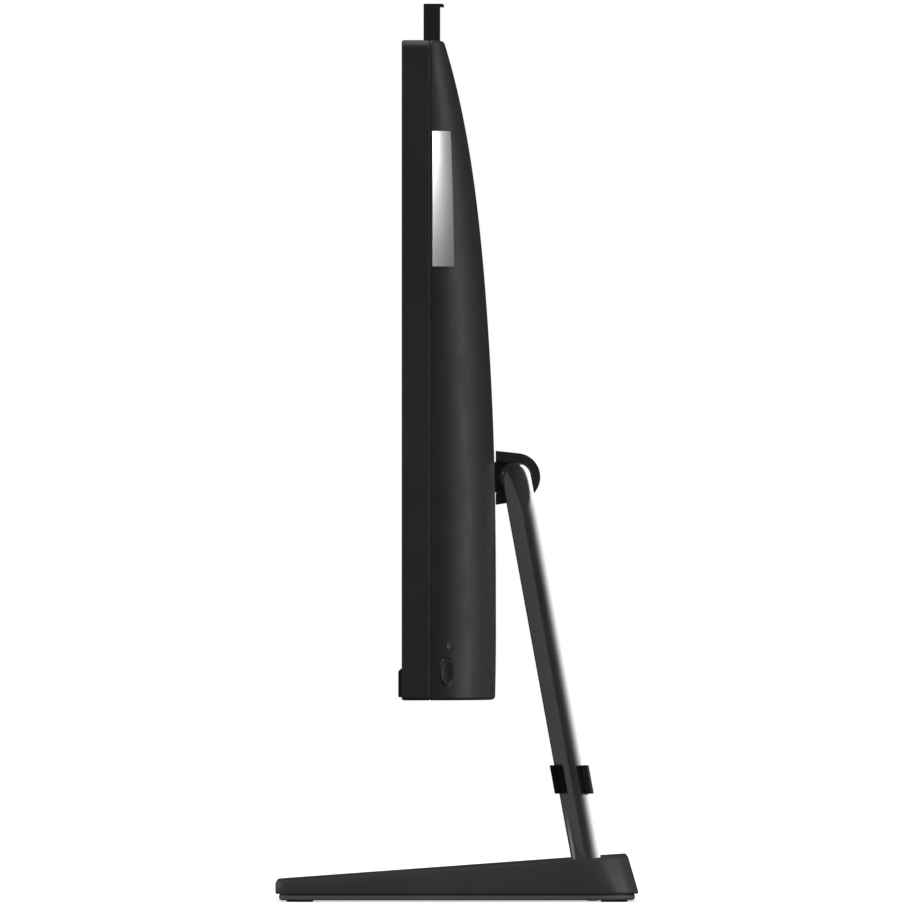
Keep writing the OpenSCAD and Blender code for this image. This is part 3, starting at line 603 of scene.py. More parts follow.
def make_back_cover():
    cover = new_object("cover_shell", cover_shell())
    walls = box((-BAY_HALF_W - BAY_WALL, BAY_HALF_W + BAY_WALL), (BAY_FLOOR - 2, BAY_REACH),
                (BAY_Z[0] - BAY_WALL, BAY_Z[1] + BAY_WALL))
    bosses = [rod(x, z, BOSS_R, (BOSS_FRONT, back_y(x, z) - 1)) for x, z in COVER_SCREWS]
    carve(cover, join(walls, *bosses), "UNION")
    window = box((core_low.x - 1, core_high.x + 1), (10, 30), (AXIS_Z - 9, AXIS_Z + 9), 1.5)
    bay = box((-BAY_HALF_W, BAY_HALF_W), (0, 40), BAY_Z, 2)
    security = box(SECURITY_X, (0, 40), SECURITY_Z, 1)
    cutters = [window, camera_slot(-30, camera_high.y + 0.3), bay, security]
    cutters += [slot_cutter(x, z, VENT_W) for x, z in vent_spots]
    for x, z in COVER_SCREWS:
        face = back_y(x, z)
        profile = [(1.6, -25), (1.6, face - 4), (3.3, face - 4), (3.3, face - 0.6), (4.4, face + 0.5),
                   (4.4, face + 5)]
        cutters.append(moved(turned(profile), toward_rear(x, 0, z)))
    hole = BUTTON_R + BUTTON_GAP
    rim = [(hole, -6), (hole, -0.2), (hole + 0.2, 0.05), (hole + 0.3, 6)]
    cutters.append(moved(turned(rim, 96), on_side(BUTTON_Y, BUTTON_Z)))
    cutters.append(moved(turned([(LED_HOLE_R, -6), (LED_HOLE_R, 6)]), on_side(LED_Y, LED_Z)))
    carve(cover, join(*cutters))
    smooth(cover)
    shade_by_formula(cover)
    return finish_piece(cover, "display", "shell_black", ["back_cover"])


def shade_by_formula(cover):
    """Gives the bulge the exact normals of its formula, so that cuts leave no shading marks."""
    mesh = cover.data
    normals = [Vector(n.vector) for n in mesh.corner_normals]
    for face in mesh.polygons:
        for i in face.loop_indices:
            x, y, z = mesh.vertices[mesh.loops[i].vertex_index].co / MM
            on_back = abs(y - back_y(x, z)) < 0.02 and LIFT + ROUND_BOTTOM < z < TOP - ROUND_TOP
            if on_back and abs(x) < HALF_W - 0.02:
                exact = back_normal(x, z)
                if face.normal.dot(exact) > 0.94:
                    normals[i] = exact
    mesh.normals_split_custom_set(normals)


def make_badge():
    """Plain satin plate that follows the cover's side."""
    nx, nz, lift, edge = 24, 60, 0.6, 0.25
    plate_low, plate_high = corners("badge_plate")
    x0, x1, z0, z1 = plate_low.x, plate_high.x, plate_low.z, plate_high.z

    def at(i, j, up, inset):
        x = x0 + inset + (x1 - x0 - 2 * inset) * i / nx
        z = z0 + inset + (z1 - z0 - 2 * inset) * j / nz
        base = Vector((x, back_y(x, z), z))
        return base + back_normal(min(x, HALF_W - 0.1), z) * up

    layers = [(0.05, 0.0), (lift - edge, 0.0), (lift, edge)]
    edge_cells = [(i, 0) for i in range(nx)] + [(nx, j) for j in range(nz)] + \
        [(i, nz) for i in range(nx, 0, -1)] + [(0, j) for j in range(nz, 0, -1)]
    rings = [[at(i, j, up, inset) for i, j in edge_cells] for up, inset in layers]
    n = len(edge_cells)
    verts = [p for ring in rings for p in ring]
    faces = []
    for k in range(len(rings) - 1):
        faces += [(k * n + i, k * n + (i + 1) % n, (k + 1) * n + (i + 1) % n, (k + 1) * n + i)
                  for i in range(n)]
    for up, inset in (layers[0], layers[-1]):
        base = len(verts)
        verts += [at(i, j, up, inset) for j in range(nz + 1) for i in range(nx + 1)]
        row = nx + 1
        faces += [(base + j * row + i, base + j * row + i + 1, base + (j + 1) * row + i + 1,
                   base + (j + 1) * row + i) for j in range(nz) for i in range(nx)]
    badge = new_object("side_plate", (verts, faces))
    smooth(badge)
    return finish_piece(badge, "display", "badge_silver", ["badge_plate"])


# ---------------------------------------------------------------- front

SCREEN_SIDE = 7
SCREEN_LOW = corners("lcd_panel")[0].z + 3
SCREEN_HIGH = TOP - SCREEN_SIDE
FRAME_WALL = 2.2
LIP = 1.4
FRONT_ROUND = 1.2
REAR_CHAMFER = 0.5
SPEAKER_X = 190


def display_outline(inset):
    top_r, bottom_r = max(0.4, TOP_R - inset), max(0.4, BOTTOM_R - inset)
    return rounded(inset - HALF_W, HALF_W - inset, LIFT + inset, TOP - inset,
                   [bottom_r, bottom_r, top_r, top_r], 10)


def make_front_frame():
    """Thin frame with a chin: front face, side walls and the opening for the screen."""
    opening = rounded(SCREEN_SIDE - HALF_W, HALF_W - SCREEN_SIDE, SCREEN_LOW, SCREEN_HIGH, [0.6] * 4, 10)
    wide = rounded(SCREEN_SIDE - 0.4 - HALF_W, HALF_W - SCREEN_SIDE + 0.4, SCREEN_LOW - 0.4,
                   SCREEN_HIGH + 0.4, [1.0] * 4, 10)
    rings = []
    for k in range(7):
        a = math.radians(15 * k)
        rings.append(at_y(display_outline(FRONT_ROUND * (1 - math.sin(a))),
                          FRONT + FRONT_ROUND * (1 - math.cos(a))))
    rings += [at_y(display_outline(0), SEAM - REAR_CHAMFER), at_y(display_outline(REAR_CHAMFER), SEAM)]
    rings += [at_y(display_outline(FRAME_WALL), SEAM), at_y(display_outline(FRAME_WALL), FRONT + LIP)]
    rings += [at_y(opening, FRONT + LIP), at_y(opening, FRONT + 0.4), at_y(wide, FRONT)]
    shell = new_object("frame_shell", loft(rings, wrap=True))
    cutters = [camera_slot(camera_low.y - 0.3, SEAM + 1)]
    cutters += [box((s * SPEAKER_X - 24, s * SPEAKER_X + 24), (FRONT - 1, FRONT + 5), (107, 115))
                for s in (-1, 1)]
    carve(shell, join(*cutters))
    smooth(shell, 28)
    return finish_piece(shell, "display", "frame_black", ["front_frame"])


def make_speaker_bar():
    low, high = corners("speaker_bar")
    rear = FRONT + 0.05
    profile = [(rear, low.z), (rear, high.z)]
    profile += arc(low.y + 1.6, high.z - 1.6, 1.6, 90, 180, 8)
    profile += arc(low.y + 0.7, low.z + 0.7, 0.7, 180, 270, 5)
    bar = new_object("speaker_grille", extruded(profile, at_x, low.x, high.x))
    pitch, hole_r, middle = 2.0, 0.6, (107.5 + 114.5) / 2
    holes = []
    for s in (-1, 1):
        for row in range(-2, 3):
            for col in range(-11, 12):
                x = s * SPEAKER_X + (col + (0.5 if row % 2 else 0)) * pitch
                holes.append(rod(x, middle + row * pitch * 0.87, hole_r, (low.y - 1, FRONT + 2), 12))
    carve(bar, join(*holes))
    smooth(bar)
    return finish_piece(bar, "display", "bar_black", ["speaker_bar"])


# ---------------------------------------------------------------- power button and light

def make_power_button():
    """Round key with a dished face and a pinhole in its middle."""
    r, pin = BUTTON_R, 0.6
    dish = [(r - 0.45, 0.0), (r - 1.1, -0.04), (5, -0.16), (2.5, -0.26), (pin + 0.15, -0.3),
            (pin, -0.45), (pin, -2.2), (0, -2.2)]
    profile = [(0, -3.4), (r + 1, -3.4), (r + 1, -2.6), (r, -2.6), (r, -0.35), (r - 0.12, -0.12)] + dish
    button = new_object("power_key", moved(turned(profile, 96), on_side(BUTTON_Y, BUTTON_Z)))
    smooth(button)
    return finish_piece(button, "power_button", "button_black", ["power_button"])


def make_power_light():
    """Flush lens with a pale ring round a dark middle."""
    profile = [(0, -2.2), (1.4, -2.2), (1.4, -0.1), (1.32, 0.03), (1.0, 0.03), (0.92, -0.15), (0, -0.15)]
    light = new_object("power_light", moved(turned(profile, 48), on_side(LED_Y, LED_Z)))
    smooth(light)
    finish_piece(light, "display", "led", ["power_led"], [ICON_GREY, mats["part_black"]])
    centre, normal = side_point(LED_Y, LED_Z)

    def middle(point, _):
        offset = point - centre
        return (offset - normal * offset.dot(normal)).length < 0.95 and offset.dot(normal) > -1

    paint(light, 1, middle)
    return light


# ---------------------------------------------------------------- camera

def make_camera():
    """Body with a window strip in front, and the overhanging cap on top."""
    low, high = corners("camera_window")
    outline = rounded(camera_low.x, camera_high.x, camera_low.y, camera_high.y, [0.5] * 4, 5)
    body = new_object("camera_body", extruded(outline, at_z, camera_low.z, camera_high.z))
    gap = 0.1
    carve(body, box((low.x - gap, high.x + gap), (low.y - 1, low.y + 0.9), (low.z - gap, high.z + gap), 1.2))
    carve(body, rod(0, (low.z + high.z) / 2, 4.1, (low.y, low.y + 3)))
    smooth(body)
    bevel(body, 0.12, 2, 50)
    finish_piece(body, "camera", "camera_black", ["camera_housing"])
    strip = box((low.x, high.x), (low.y + 0.02, high.y), (low.z, high.z), 1.1)
    window = new_object("camera_glass_strip", strip)
    bevel(window, 0.12, 2)
    finish_piece(window, "camera", "camera_glass", ["camera_window"])
    cap_low, cap_high = corners("camera_cap")
    profile = [(cap_low.y, cap_low.z), (cap_high.y - 0.15, cap_low.z), (cap_high.y, cap_low.z + 0.15)]
    profile += arc(cap_high.y - 1.1, cap_high.z - 1.1, 1.1, 0, 90, 6)
    profile += arc(cap_low.y + 0.3, cap_high.z - 0.3, 0.3, 90, 180, 3)
    cap = new_object("camera_lid", extruded(profile, at_x, cap_low.x, cap_high.x))
    smooth(cap)
    bevel(cap, 0.15, 2, 50)
    finish_piece(cap, "camera", "camera_black", ["camera_cap"])
    return body


def make_lens():
    low, high = corners("camera_lens")
    profile = [(0, 0), (2.4, 0.5), (2.5, 0), (3.6, 0), (4, 0.4), (4, 2.1), (3, 2.1), (3, 5), (0, 5)]
    place = toward_rear(0, low.y, (low.z + high.z) / 2)
    lens = new_object("camera_optics", moved(turned(profile), place))
    smooth(lens)
    return finish_piece(lens, "camera", "camera_glass", ["camera_lens"])


# ---------------------------------------------------------------- stand

def leaning():
    """Frame of the stand's leaning plane: crossbar along X, legs along -Z."""
    return Matrix.Translation((0, AXIS_Y, AXIS_Z)) @ Matrix.Rotation(LEAN, 4, "X")


def make_stand_tube():
    """Bent tube, swept along its path with open ends."""
    sides, spans = 72, 13
    heights = [-LEG_LENGTH + (LEG_LENGTH - BEND_R) * k / spans for k in range(spans)]
    path = [(-LEG_X, z) for z in heights]
    path += arc(BEND_R - LEG_X, -BEND_R, BEND_R, 180, 90, 24)
    path += arc(LEG_X - BEND_R, -BEND_R, BEND_R, 90, 0, 24)
    path += [(LEG_X, z) for z in reversed(heights)]

    def ring(k, r):
        a, b = path[max(0, k - 1)], path[min(len(path) - 1, k + 1)]
        run = Vector((b[0] - a[0], 0, b[1] - a[1])).normalized()
        across = Vector((run.z, 0, -run.x))
        centre = Vector((path[k][0], 0, path[k][1]))
        return [centre + across * (r * math.cos(2 * math.pi * i / sides)) +
                Vector((0, r * math.sin(2 * math.pi * i / sides), 0)) for i in range(sides)]

    outer = [ring(k, TUBE_R) for k in range(len(path))]
    inner = [ring(k, TUBE_R - TUBE_WALL) for k in range(len(path) - 1, -1, -1)]
    tube = new_object("bent_tube", moved(loft(outer + inner, wrap=True), leaning()))
    smooth(tube, 40)
    return finish_piece(tube, "stand", "tube_silver", ["stand_tube"])


def make_cable_clip():
    """Snap-on clip: a C round the leg with flared lips, and an open loop for a lead."""
    low, high = corners("cable_clip")
    outer, inner, mouth, lip = 9.8, TUBE_R + 0.05, 4.9, 0.85
    edge_out = math.degrees(math.asin((mouth + lip) / (outer - lip)))
    edge_in = math.degrees(math.asin((mouth + lip * 0.4) / inner))
    tip = math.radians(-edge_out)
    tip_x, tip_y = (outer - lip) * math.cos(tip) + 0.5, (outer - lip) * math.sin(tip) + 0.2
    outline = arc(0, 0, outer, edge_out, 360 - edge_out, 64) + arc(tip_x, tip_y, lip, -60, 60, 6)
    outline += arc(0, 0, inner, 360 - edge_in, edge_in, 56) + arc(tip_x, -tip_y, lip, -60, 60, 6)
    height = 40
    base = -LEG_LENGTH + 62 - 6.5 - height / 2

    def along_leg(shape, extra=0):
        return extruded(shape, at_z, base - extra, base + height + extra)

    loop_x, loop_in, loop_out, neck_half, gap_half = -14.6, 5, 6.8, 3, 2.4
    clip = new_object("lead_clip", along_leg(outline))
    neck = [(loop_x, -neck_half), (-inner - 0.6, -neck_half), (-inner - 0.6, neck_half), (loop_x, neck_half)]
    carve(clip, along_leg(neck), "UNION")
    carve(clip, along_leg(circle(loop_x, 0, loop_out, 48)), "UNION")
    carve(clip, along_leg(circle(loop_x, 0, loop_in, 48), 1))
    gap = rounded(loop_x - 10, loop_x - 2, -gap_half, gap_half, [0.01] * 4, 1)
    carve(clip, along_leg(gap, 1))
    clip.data.transform(Matrix.Translation((LEG_X * MM, 0, 0)))
    clip.data.transform(Matrix.Scale(MM, 4) @ leaning() @ Matrix.Scale(1 / MM, 4))
    carve(clip, box((30, 120), (0, 120), (low.z, high.z)), "INTERSECT")
    smooth(clip)
    bevel(clip, 0.35, 3, 40)
    return finish_piece(clip, "cable_clip", "clip_black", ["cable_clip"])


# ---------------------------------------------------------------- base

shell_low, shell_high = corners("base_shell")
BASE_W, HALF_D, BASE_TOP = shell_high.x, shell_high.y, shell_high.z
SHELL_Z = shell_low.z
BASE_FRONT_H = 10.5
REAR_SET_BACK = 5.2
SLOPE = (BASE_TOP - BASE_FRONT_H) / (2 * HALF_D - REAR_SET_BACK)
REAR_LEAN = REAR_SET_BACK / (BASE_TOP - SHELL_Z - 0.9)


def base_plan(inset):
    """The base's outline from above, with larger corners at the rear."""
    front_r, rear_r = 10 - inset, 24 - inset
    return rounded(inset - BASE_W, BASE_W - inset, inset - HALF_D, HALF_D - inset,
                   [front_r, front_r, rear_r, rear_r], 20)


def base_top(inset, drop):
    """The sloping top's outline: the rear wall leans forward on its way up."""
    ring = []
    for x, y in base_plan(inset):
        lean_back = REAR_LEAN if y > 0 else 0
        z = (BASE_FRONT_H - drop + SLOPE * (y + lean_back * SHELL_Z + HALF_D)) / (1 + lean_back * SLOPE)
        ring.append((x, y - lean_back * (z - SHELL_Z), z))
    return ring


def make_base_shell():
    """Hollow wedge with small round edges, and a leaning hole for each leg."""
    wall = 2.5
    rings = [at_z(base_plan(0.9), SHELL_Z), at_z(base_plan(0.25), SHELL_Z + 0.25),
             at_z(base_plan(0), SHELL_Z + 0.9)]
    for inset, drop in ((0, 1.0), (0.08, 0.6), (0.3, 0.25), (0.65, 0.05), (1.1, 0)):
        rings.append(base_top(inset, drop))
    shell = new_object("base_cover", loft(rings))
    carve(shell, loft([at_z(base_plan(wall), SHELL_Z - 1), at_z(base_plan(wall), SHELL_Z + 0.9),
                       base_top(wall, wall)]))
    for s in (-1, 1):
        hole = extruded(circle(s * LEG_X, 0, TUBE_R + 0.3, 64), at_z, -5 - LEG_LENGTH, 40 - LEG_LENGTH)
        carve(shell, moved(hole, leaning()))
    smooth(shell)
    return finish_piece(shell, "stand", "base_black", ["base_shell"])


def make_base_plate():
    """Plate with a round lower edge, and a groove where it meets the shell."""
    low, high = corners("base_plate")
    inset, edge_r, groove, deep = 1.8, 1.5, 0.6, 3.4
    rings = []
    for k in range(6):
        a = math.radians(18 * k)
        rings.append(at_z(base_plan(inset + edge_r * (1 - math.sin(a))), low.z + edge_r * (1 - math.cos(a))))
    rings += [at_z(base_plan(inset), high.z - groove - 0.15), at_z(base_plan(inset + 0.3), high.z - groove),
              at_z(base_plan(deep), high.z - groove), at_z(base_plan(deep), high.z)]
    plate = new_object("bottom_plate", loft(rings))
    cutters = []
    for a, b in solids_of("base_feet"):
        r = (b.x - a.x) / 2 + 0.15
        cutters.append(shifted(turned([(r, -1), (r, 1.7)], 64), (a.x + b.x) / 2, (a.y + b.y) / 2))
    for node, hole in (("base_screws", 1.7), ("leg_screws", 2.1)):
        for a, b in solids_of(node):
            r = (b.x - a.x) / 2 + 0.3
            recess = turned([(r + 0.4, -1), (r + 0.4, 0.95), (r, 1.3), (r, 2.5), (hole, 2.5), (hole, 6)])
            cutters.append(shifted(recess, (a.x + b.x) / 2, (a.y + b.y) / 2))
    carve(plate, join(*cutters))
    smooth(plate)
    return finish_piece(plate, "stand", "plate_black", ["base_plate"])


def make_feet():
    feet = []
    for a, b in solids_of("base_feet"):
        r = (b.x - a.x) / 2
        foot = turned([(0, 0.25), (r - 2.2, 0.25), (r - 1.9, 0), (r - 0.45, 0), (r - 0.12, 0.12),
                       (r, 0.45), (r, 1.6), (0, 1.6)], 64)
        feet.append(shifted(foot, (a.x + b.x) / 2, (a.y + b.y) / 2))
    pads = new_object("rubber_feet", join(*feet))
    smooth(pads)
    return finish_piece(pads, "stand", "foot_rubber", ["base_feet"])


def screw_shape(head_r, head_h, shank_r, length):
    """Screw with a domed head at the bottom and its shank along +Z."""
    return turned([(0, 0.0), (head_r - 0.9, 0.05), (head_r - 0.3, 0.25), (head_r, 0.7), (head_r, head_h),
                   (shank_r, head_h), (shank_r, length - 0.8), (shank_r * 0.55, length), (0, length)], 40)


def cross_recess(head_r):
    """Cutter for the cross in a screw's head."""
    arm, width, deep = head_r * 0.62, head_r * 0.17, 1.0
    blade = [(-arm, -width), (arm, -width), (arm, width), (-arm, width)]
    tip = [(x * 0.45, y * 0.6) for x, y in blade]
    one = loft([at_z(blade, -0.5), at_z(blade, 0.1), at_z(tip, deep)])
    return one, moved(one, Matrix.Rotation(math.radians(90), 4, "Z"))


def make_screws(name, node, turn, body, slot):
    """Screws in place of a node's plain ones; turn stands +Z along each screw's shank."""
    shapes, cuts = [], ([], [])
    for a, b in solids_of(node):
        spread = Vector(sorted(b - a))
        head_r, length = (spread[0] + spread[1]) / 4, spread[2]
        middle = (a + b) / 2
        head = middle - (turn @ Vector((0, 0, 1))) * (length / 2)
        place = Matrix.Translation(head) @ turn
        shapes.append(moved(screw_shape(head_r, min(2.0, length * 0.3), head_r * 0.5, length), place))
        for k, blade in enumerate(cross_recess(head_r)):
            cuts[k].append(moved(blade, place))
    screws = new_object(name, join(*shapes))
    for blades in cuts:
        carve(screws, join(*blades))
    smooth(screws)
    return finish_piece(screws, body, slot, [node])


# ---------------------------------------------------------------- hinge

HINGE_R = 12.2
housing_low, housing_high = corners("hinge_housing")


def hinge_profile():
    """Side outline of the hinge housing: two edges that run tangent into its round end."""
    rim_y, top, bottom = housing_low.y, housing_high.z, housing_low.z
    ends = []
    for z, side in ((top, 1), (bottom, -1)):
        v = Vector((rim_y - AXIS_Y, z - AXIS_Z))
        ends.append(math.degrees(math.atan2(v.y, v.x) - side * math.acos(HINGE_R / v.length)))
    upper, lower = ends
    lower = (lower - 360) if lower > upper else lower
    return [(rim_y, top)] + arc(AXIS_Y, AXIS_Z, HINGE_R, upper, lower, 48) + [(rim_y, bottom)]


def hinge_groove(r, x0, x1):
    """Cutter for a groove of radius r about the tilt axis, open toward the display."""
    front = housing_low.y - 3
    outline = [(front, AXIS_Z - r)] + arc(AXIS_Y, AXIS_Z, r, -90, 90, 32) + [(front, AXIS_Z + r)]
    return extruded(outline, at_x, x0, x1)


def make_hinge_housing():
    """Housing with a groove for the crossbar, two ribs beside the core and pockets for the bushes."""
    body = new_object("hinge_cover", extruded(hinge_profile(), at_x, housing_low.x, housing_high.x))
    clear = housing_high.x + 1
    carve(body, hinge_groove(8, -clear, clear))
    for z in (AXIS_Z - 8.6, AXIS_Z + 7.6):
        carve(body, box((-20, 20), (housing_low.y + 0.6, housing_low.y + 6), (z, z + 1)), "UNION")
    pocket_r, pocket_half, bush_x = 10.3, 10.2, 30
    for x in (-bush_x, bush_x):
        carve(body, hinge_groove(pocket_r, x - pocket_half, x + pocket_half))
    smooth(body)
    bevel(body, 0.45, 3, 40)
    return finish_piece(body, "display", "hinge_black", ["hinge_housing"])


# ---------------------------------------------------------------- ports

PORT_Z = (BAY_Z[0] + BAY_Z[1]) / 2
port_low, port_high = corners("usb_ports")
PORT_REAR, PORT_FACE = port_low.y, port_high.y


def make_shell(name, solid, cutter, node):
    """Metal shell of a socket, in place of its CAD node."""
    shell = new_object(name, solid)
    carve(shell, cutter)
    smooth(shell)
    return finish_piece(shell, "display", "port_metal", [node])


def make_insert(name, solid, material, slot, edge, segments):
    """Bevelled tongue or row of contacts inside a socket."""
    insert = new_object(name, solid)
    bevel(insert, edge, segments)
    return finish_piece(insert, "display", slot, (), [material])


def make_data_sockets():
    rows = (-3.7, 3.7)
    shells, openings, tongues, pins = [], [], [], []
    for a, b in solids_of("usb_ports"):
        x = (a.x + b.x) / 2
        shells.append(box((x - 6.6, x + 6.6), (PORT_REAR, PORT_FACE), (PORT_Z - 7.6, PORT_Z + 7.6), 0.5))
        for z in (PORT_Z + row for row in rows):
            openings.append(box((x - 6, x + 6), (PORT_REAR + 1, PORT_FACE + 5), (z - 2.5, z + 2.5), 0.4))
            tongues.append(box((x - 5.4, x + 5.4), (PORT_REAR + 2, PORT_FACE - 1), (z + 0.3, z + 1.9)))
            pins += [box((x + k * 2.4 - 0.5, x + k * 2.4 + 0.5), (PORT_REAR + 4, PORT_FACE - 1.4),
                         (z + 0.12, z + 0.3)) for k in (-1.5, -0.5, 0.5, 1.5)]
    make_shell("data_socket_shells", join(*shells), join(*openings), "usb_ports")
    make_insert("data_socket_tongues", join(*tongues), SOCKET_BLUE, "part_black", 0.15, 2)
    make_insert("data_socket_contacts", join(*pins), GOLD, "antenna_foil", 0.04, 1)


def make_video_socket():
    low, high = corners("hdmi_port")
    x, z = (low.x + high.x) / 2, PORT_Z
    opening = [(x - 7, z + 2.3), (x - 7, z - 0.6), (x - 5.3, z - 2.3), (x + 5.3, z - 2.3), (x + 7, z - 0.6),
               (x + 7, z + 2.3)]
    make_shell("video_socket_shell", box((low.x, high.x), (low.y, high.y), (low.z, high.z), 0.5),
               extruded(opening, at_y, 1, 20), "hdmi_port")
    make_insert("video_socket_tongue", box((x - 5.2, x + 5.2), (0.9, PORT_FACE - 1.2), (z - 0.45, z + 0.45)),
                mats["part_black"], "part_black", 0.12, 2)
    pins = [box((x + k - 0.22, x + k + 0.22), (2, PORT_FACE - 1.5), (z - 0.52, z + 0.52))
            for k in range(-4, 5)]
    make_insert("video_socket_contacts", join(*pins), GOLD, "antenna_foil", 0.03, 1)


def make_network_socket():
    low, high = corners("lan_port")
    x, z = (low.x + high.x) / 2, PORT_Z
    opening = [(x - 5.9, z - 3), (x - 3, z - 3), (x - 3, z - 5), (x + 3, z - 5), (x + 3, z - 3),
               (x + 5.9, z - 3), (x + 5.9, z + 4.8), (x - 5.9, z + 4.8)]
    make_shell("network_socket_shell", box((low.x, high.x), (low.y, high.y), (low.z, high.z), 0.4),
               extruded(opening, at_y, -2, 20), "lan_port")
    places = [k * 1.02 for k in (-3.5, -2.5, -1.5, -0.5, 0.5, 1.5, 2.5, 3.5)]
    pins = [box((x + k - 0.2, x + k + 0.2), (-1.9, 7), (z + 3.6 + abs(k) * 0.02, z + 4.0)) for k in places]
    make_insert("network_socket_contacts", join(*pins), GOLD, "antenna_foil", 0.04, 1)


def make_round_socket(name, node, outer, inner):
    """Black ring with a blind round hole; returns its place and its length."""
    low, high = corners(node)
    length = high.y - low.y
    profile = [(0, 0), (outer, 0), (outer, length - 0.3), (outer - 0.3, length), (inner + 0.35, length),
               (inner, length - 0.35), (inner, 1.5), (0, 1.5)]
    place = toward_rear((low.x + high.x) / 2, low.y, PORT_Z)
    ring = new_object(name, moved(turned(profile), place))
    smooth(ring)
    finish_piece(ring, "display", "part_black", [node])
    return place, length


def make_power_pin(place, length):
    profile = [(0, 1.4), (0.9, 1.4), (0.9, length - 1.6), (0.6, length - 1.1), (0, length - 1.0)]
    pin = new_object("power_socket_pin", moved(turned(profile, 24), place))
    smooth(pin)
    finish_piece(pin, "display", "port_metal")


# ---------------------------------------------------------------- CAD nodes that keep their shape

KEPT = {
    "base_weight": 0.8, "leg_sockets": 0.3, "hinge_core": 0.4, "hinge_bushes": 0.3, "mount_bracket": 0.3,
    "lcd_panel": 0.2, "backlight_module": 0.3, "panel_board": 0.1, "chassis": 0.2, "mainboard": 0.1,
    "processor": 0.2, "cold_plate": 0.3, "heat_pipes": 0.0, "fin_stack": 0.0, "fan_housing": 0.4,
    "fan_rotor": 0.1, "memory_modules": 0.1, "memory_sockets": 0.3, "ssd_module": 0.1,
    "wireless_card": 0.1, "antennas": 0.1, "coin_cell": 0.4, "storage_drive": 0.5, "drive_tray": 0.2,
    "speaker_boxes": 0.5, "speaker_drivers": 0.4, "button_board": 0.1, "io_bracket": 0.1,
    "camera_guide": 0.3, "camera_board": 0.1, "panel_cable": 0.05, "board_screws": 0.2,
}


def dress_kept_nodes():
    """Gives the CAD nodes that stay their materials, and a small bevel on their edges."""
    slots = {s["node"]: s["material_slot"] for s in frame["record"]["subparts"]}
    for node, obj in frame["nodes"].items():
        obj.data.materials.clear()
        obj.data.materials.append(mats[slots[node]])
        if node in KEPT:
            weld = obj.modifiers.new("weld", "WELD")
            weld.merge_threshold = 1e-6
            if KEPT[node]:
                bevel(obj, KEPT[node], 2, 40)


# ---------------------------------------------------------------- studio

def make_camera_view():
    """Nearly level view from +X with a very long lens, so that it has almost no perspective."""
    data = bpy.data.cameras.new("view")
    data.lens, data.sensor_width = 1600, 36
    data.clip_start, data.clip_end = 1.0, 100
    view_width = 0.4686
    target = Vector((0.15, 0.0023, 0.22395))
    view = bpy.data.objects.new("view", data)
    view.location = (target.x + view_width * data.lens / data.sensor_width, target.y, 0.15)
    view.rotation_euler = (view.location - target).to_track_quat("Z", "Y").to_euler()
    bpy.context.scene.collection.objects.link(view)
    bpy.context.scene.camera = view


def make_floor():
    """White floor that glows a little, unseen by everything but the camera."""
    half = 6000
    floor = new_object("studio_floor", ([(-half, -half, 0), (half, -half, 0), (half, half, 0),
                                         (-half, half, 0)], [(0, 1, 2, 3)]))
    floor.data.materials.append(surface("floor_white", (0.5, 0.5, 0.5), 0.8, grain=2, bump=0.0, vary=0.01,
                                        Emission_Color=(1, 1, 1, 1), Emission_Strength=0.62))
    floor.visible_glossy = floor.visible_diffuse = False
    floor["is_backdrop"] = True


def softbox(name, angle, size, radiance, height=0.0, only=None, distance=2.2, target=(0, 0, 0.22),
            spread=180):
    """Area light round a target, at an angle from +X toward +Y; only lists all that it lights.

    Its radiance holds for a full spread; a narrow spread gathers the same energy in its beam.
    """
    data = bpy.data.lights.new(name, "AREA")
    data.shape, data.size, data.size_y = "RECTANGLE", size[0], size[1]
    data.energy = radiance * math.pi * size[0] * size[1]
    data.spread = math.radians(spread)
    light = bpy.data.objects.new(name, data)
    a = math.radians(angle)
    light.location = Vector(target) + Vector((distance * math.cos(a), distance * math.sin(a), height))
    light.rotation_euler = (Vector(target) - light.location).to_track_quat("-Z", "Y").to_euler()
    light.visible_camera = False
    bpy.context.scene.collection.objects.link(light)
    if only:
        link_light(light, only)
    return light


def link_light(light, objects):
    """Lets a light reach some objects alone; a light for a single piece is not blocked by others."""
    group = bpy.data.collections.new(light.name + "_lit")
    for obj in objects:
        group.objects.link(obj)
    light.light_linking.receiver_collection = group
    if len(objects) == 1:
        light.light_linking.blocker_collection = group


def make_world():
    """White backdrop, a bright ceiling over a dim floor, and a dark room for reflections."""
    world = bpy.data.worlds.new("studio")
    bpy.context.scene.world = world
    world.use_nodes = True
    tree = world.node_tree
    background = tree.nodes["Background"]
    background.inputs["Strength"].default_value = 1.0
    path = tree.nodes.new("ShaderNodeLightPath")
    place = tree.nodes.new("ShaderNodeTexCoord")
    axes = tree.nodes.new("ShaderNodeSeparateXYZ")
    wire(tree, place.outputs["Generated"], axes.inputs["Vector"])
    rise = tree.nodes.new("ShaderNodeMapRange")
    rise.inputs["From Min"].default_value, rise.inputs["From Max"].default_value = -0.15, 0.15
    wire(tree, axes.outputs["Z"], rise.inputs["Value"])
    ambient = blended(tree, rise.outputs["Result"], (0.12, 0.12, 0.12), (0.92, 0.92, 0.92))
    with_mirrors = blended(tree, path.outputs["Is Glossy Ray"], ambient, (0.018, 0.018, 0.0185))
    with_backdrop = blended(tree, path.outputs["Is Camera Ray"], with_mirrors, (1, 1, 1))
    wire(tree, with_backdrop, background.inputs["Color"])


def make_overhead(lit):
    """Broad light from straight above."""
    data = bpy.data.lights.new("overhead", "SUN")
    data.energy, data.angle = 1.6, math.radians(80)
    sun = bpy.data.objects.new("overhead", data)
    bpy.context.scene.collection.objects.link(sun)
    link_light(sun, lit)


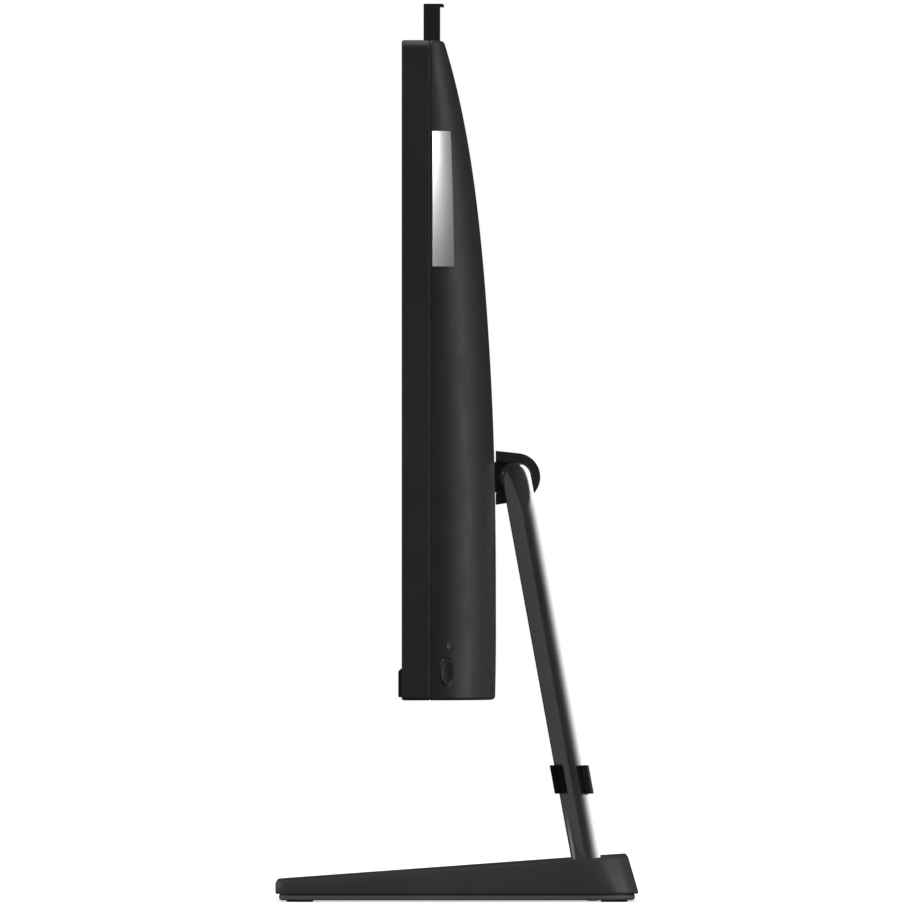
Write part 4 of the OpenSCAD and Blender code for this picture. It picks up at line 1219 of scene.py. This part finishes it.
def make_lights():
    """A light or two for each part of the object; only the stand and the clip show in reflections."""
    shown = {o.name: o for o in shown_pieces()}
    for piece in shown.values():
        piece.visible_glossy = body_of(piece)[0] in ("stand", "cable_clip")
    tube, badge = [shown["bent_tube"]], [shown["side_plate"]]
    base = [shown["base_cover"], shown["bottom_plate"]]
    front = [shown["frame_shell"], shown["speaker_grille"]]
    display = [o for o in shown.values() if o not in tube + badge + base]
    make_overhead([o for o in bpy.data.objects if o.type == "MESH" and o not in tube + base])
    softbox("cover_strip", 136, (0.5, 1.8), 0.69, 0.2, display)
    softbox("base_right", 78, (2.1, 1.1), 1.2, 0.1, base)
    softbox("base_left", -110, (1.6, 1.0), 0.75, 0.1, base)
    softbox("seam_light", 90, (0.8, 1.8), 1.2, 0.2, front)
    softbox("tube_left", -77, (8, 2.4), 0.042, 0.2, tube, 1.2)
    softbox("rear_glow", 90, (0.36, 1.2), 0.06, -0.1, display, 2.2, (-0.12, 0, 0.27), 12)
    softbox("rear_side_glow", 45, (0.2, 1.2), 0.06, -0.1, display, 2.2, (-0.1, 0, 0.27), 8)
    softbox("screen_glow", -100, (4, 1.6), 0.4, -1.0, [frame["nodes"]["lcd_panel"]])
    tube_panels = (58, 0.8, 0.07), (78, 0.8, 0.32), (98, 0.8, 0.65), (120, 1.0, 1.0), (152, 1.5, 1.3)
    for k, (angle, width, radiance) in enumerate(tube_panels):
        softbox(f"tube_panel_{k + 1}", angle, (width, 2.4), radiance, 0.2, tube)
    softbox("badge_panel", 108, (0.2, 0.24), 12.0, 0.15, badge, 0.36, (0.26, -0.003, 0.356))


# ---------------------------------------------------------------- build

bpy.context.scene.view_settings.view_transform = "Standard"
make_camera_view()
dress_kept_nodes()
make_back_cover()
make_badge()
make_front_frame()
make_speaker_bar()
make_power_button()
make_power_light()
make_camera()
make_lens()
make_stand_tube()
make_cable_clip()
make_base_shell()
make_base_plate()
make_feet()
upright = Matrix.Identity(4)
inward = Matrix.Rotation(math.radians(90), 4, "X")
make_screws("bottom_screws", "base_screws", upright, "stand", "screw_steel")
make_screws("socket_screws", "leg_screws", upright, "stand", "screw_steel")
make_screws("rear_screws", "cover_screws", inward, "display", "screw_steel")
make_hinge_housing()
make_data_sockets()
make_video_socket()
make_network_socket()
make_power_pin(*make_round_socket("power_socket_ring", "dc_jack", 5.0, 3.2))
make_round_socket("audio_socket_ring", "audio_jack", 3.0, 1.8)
make_floor()
make_world()
make_lights()
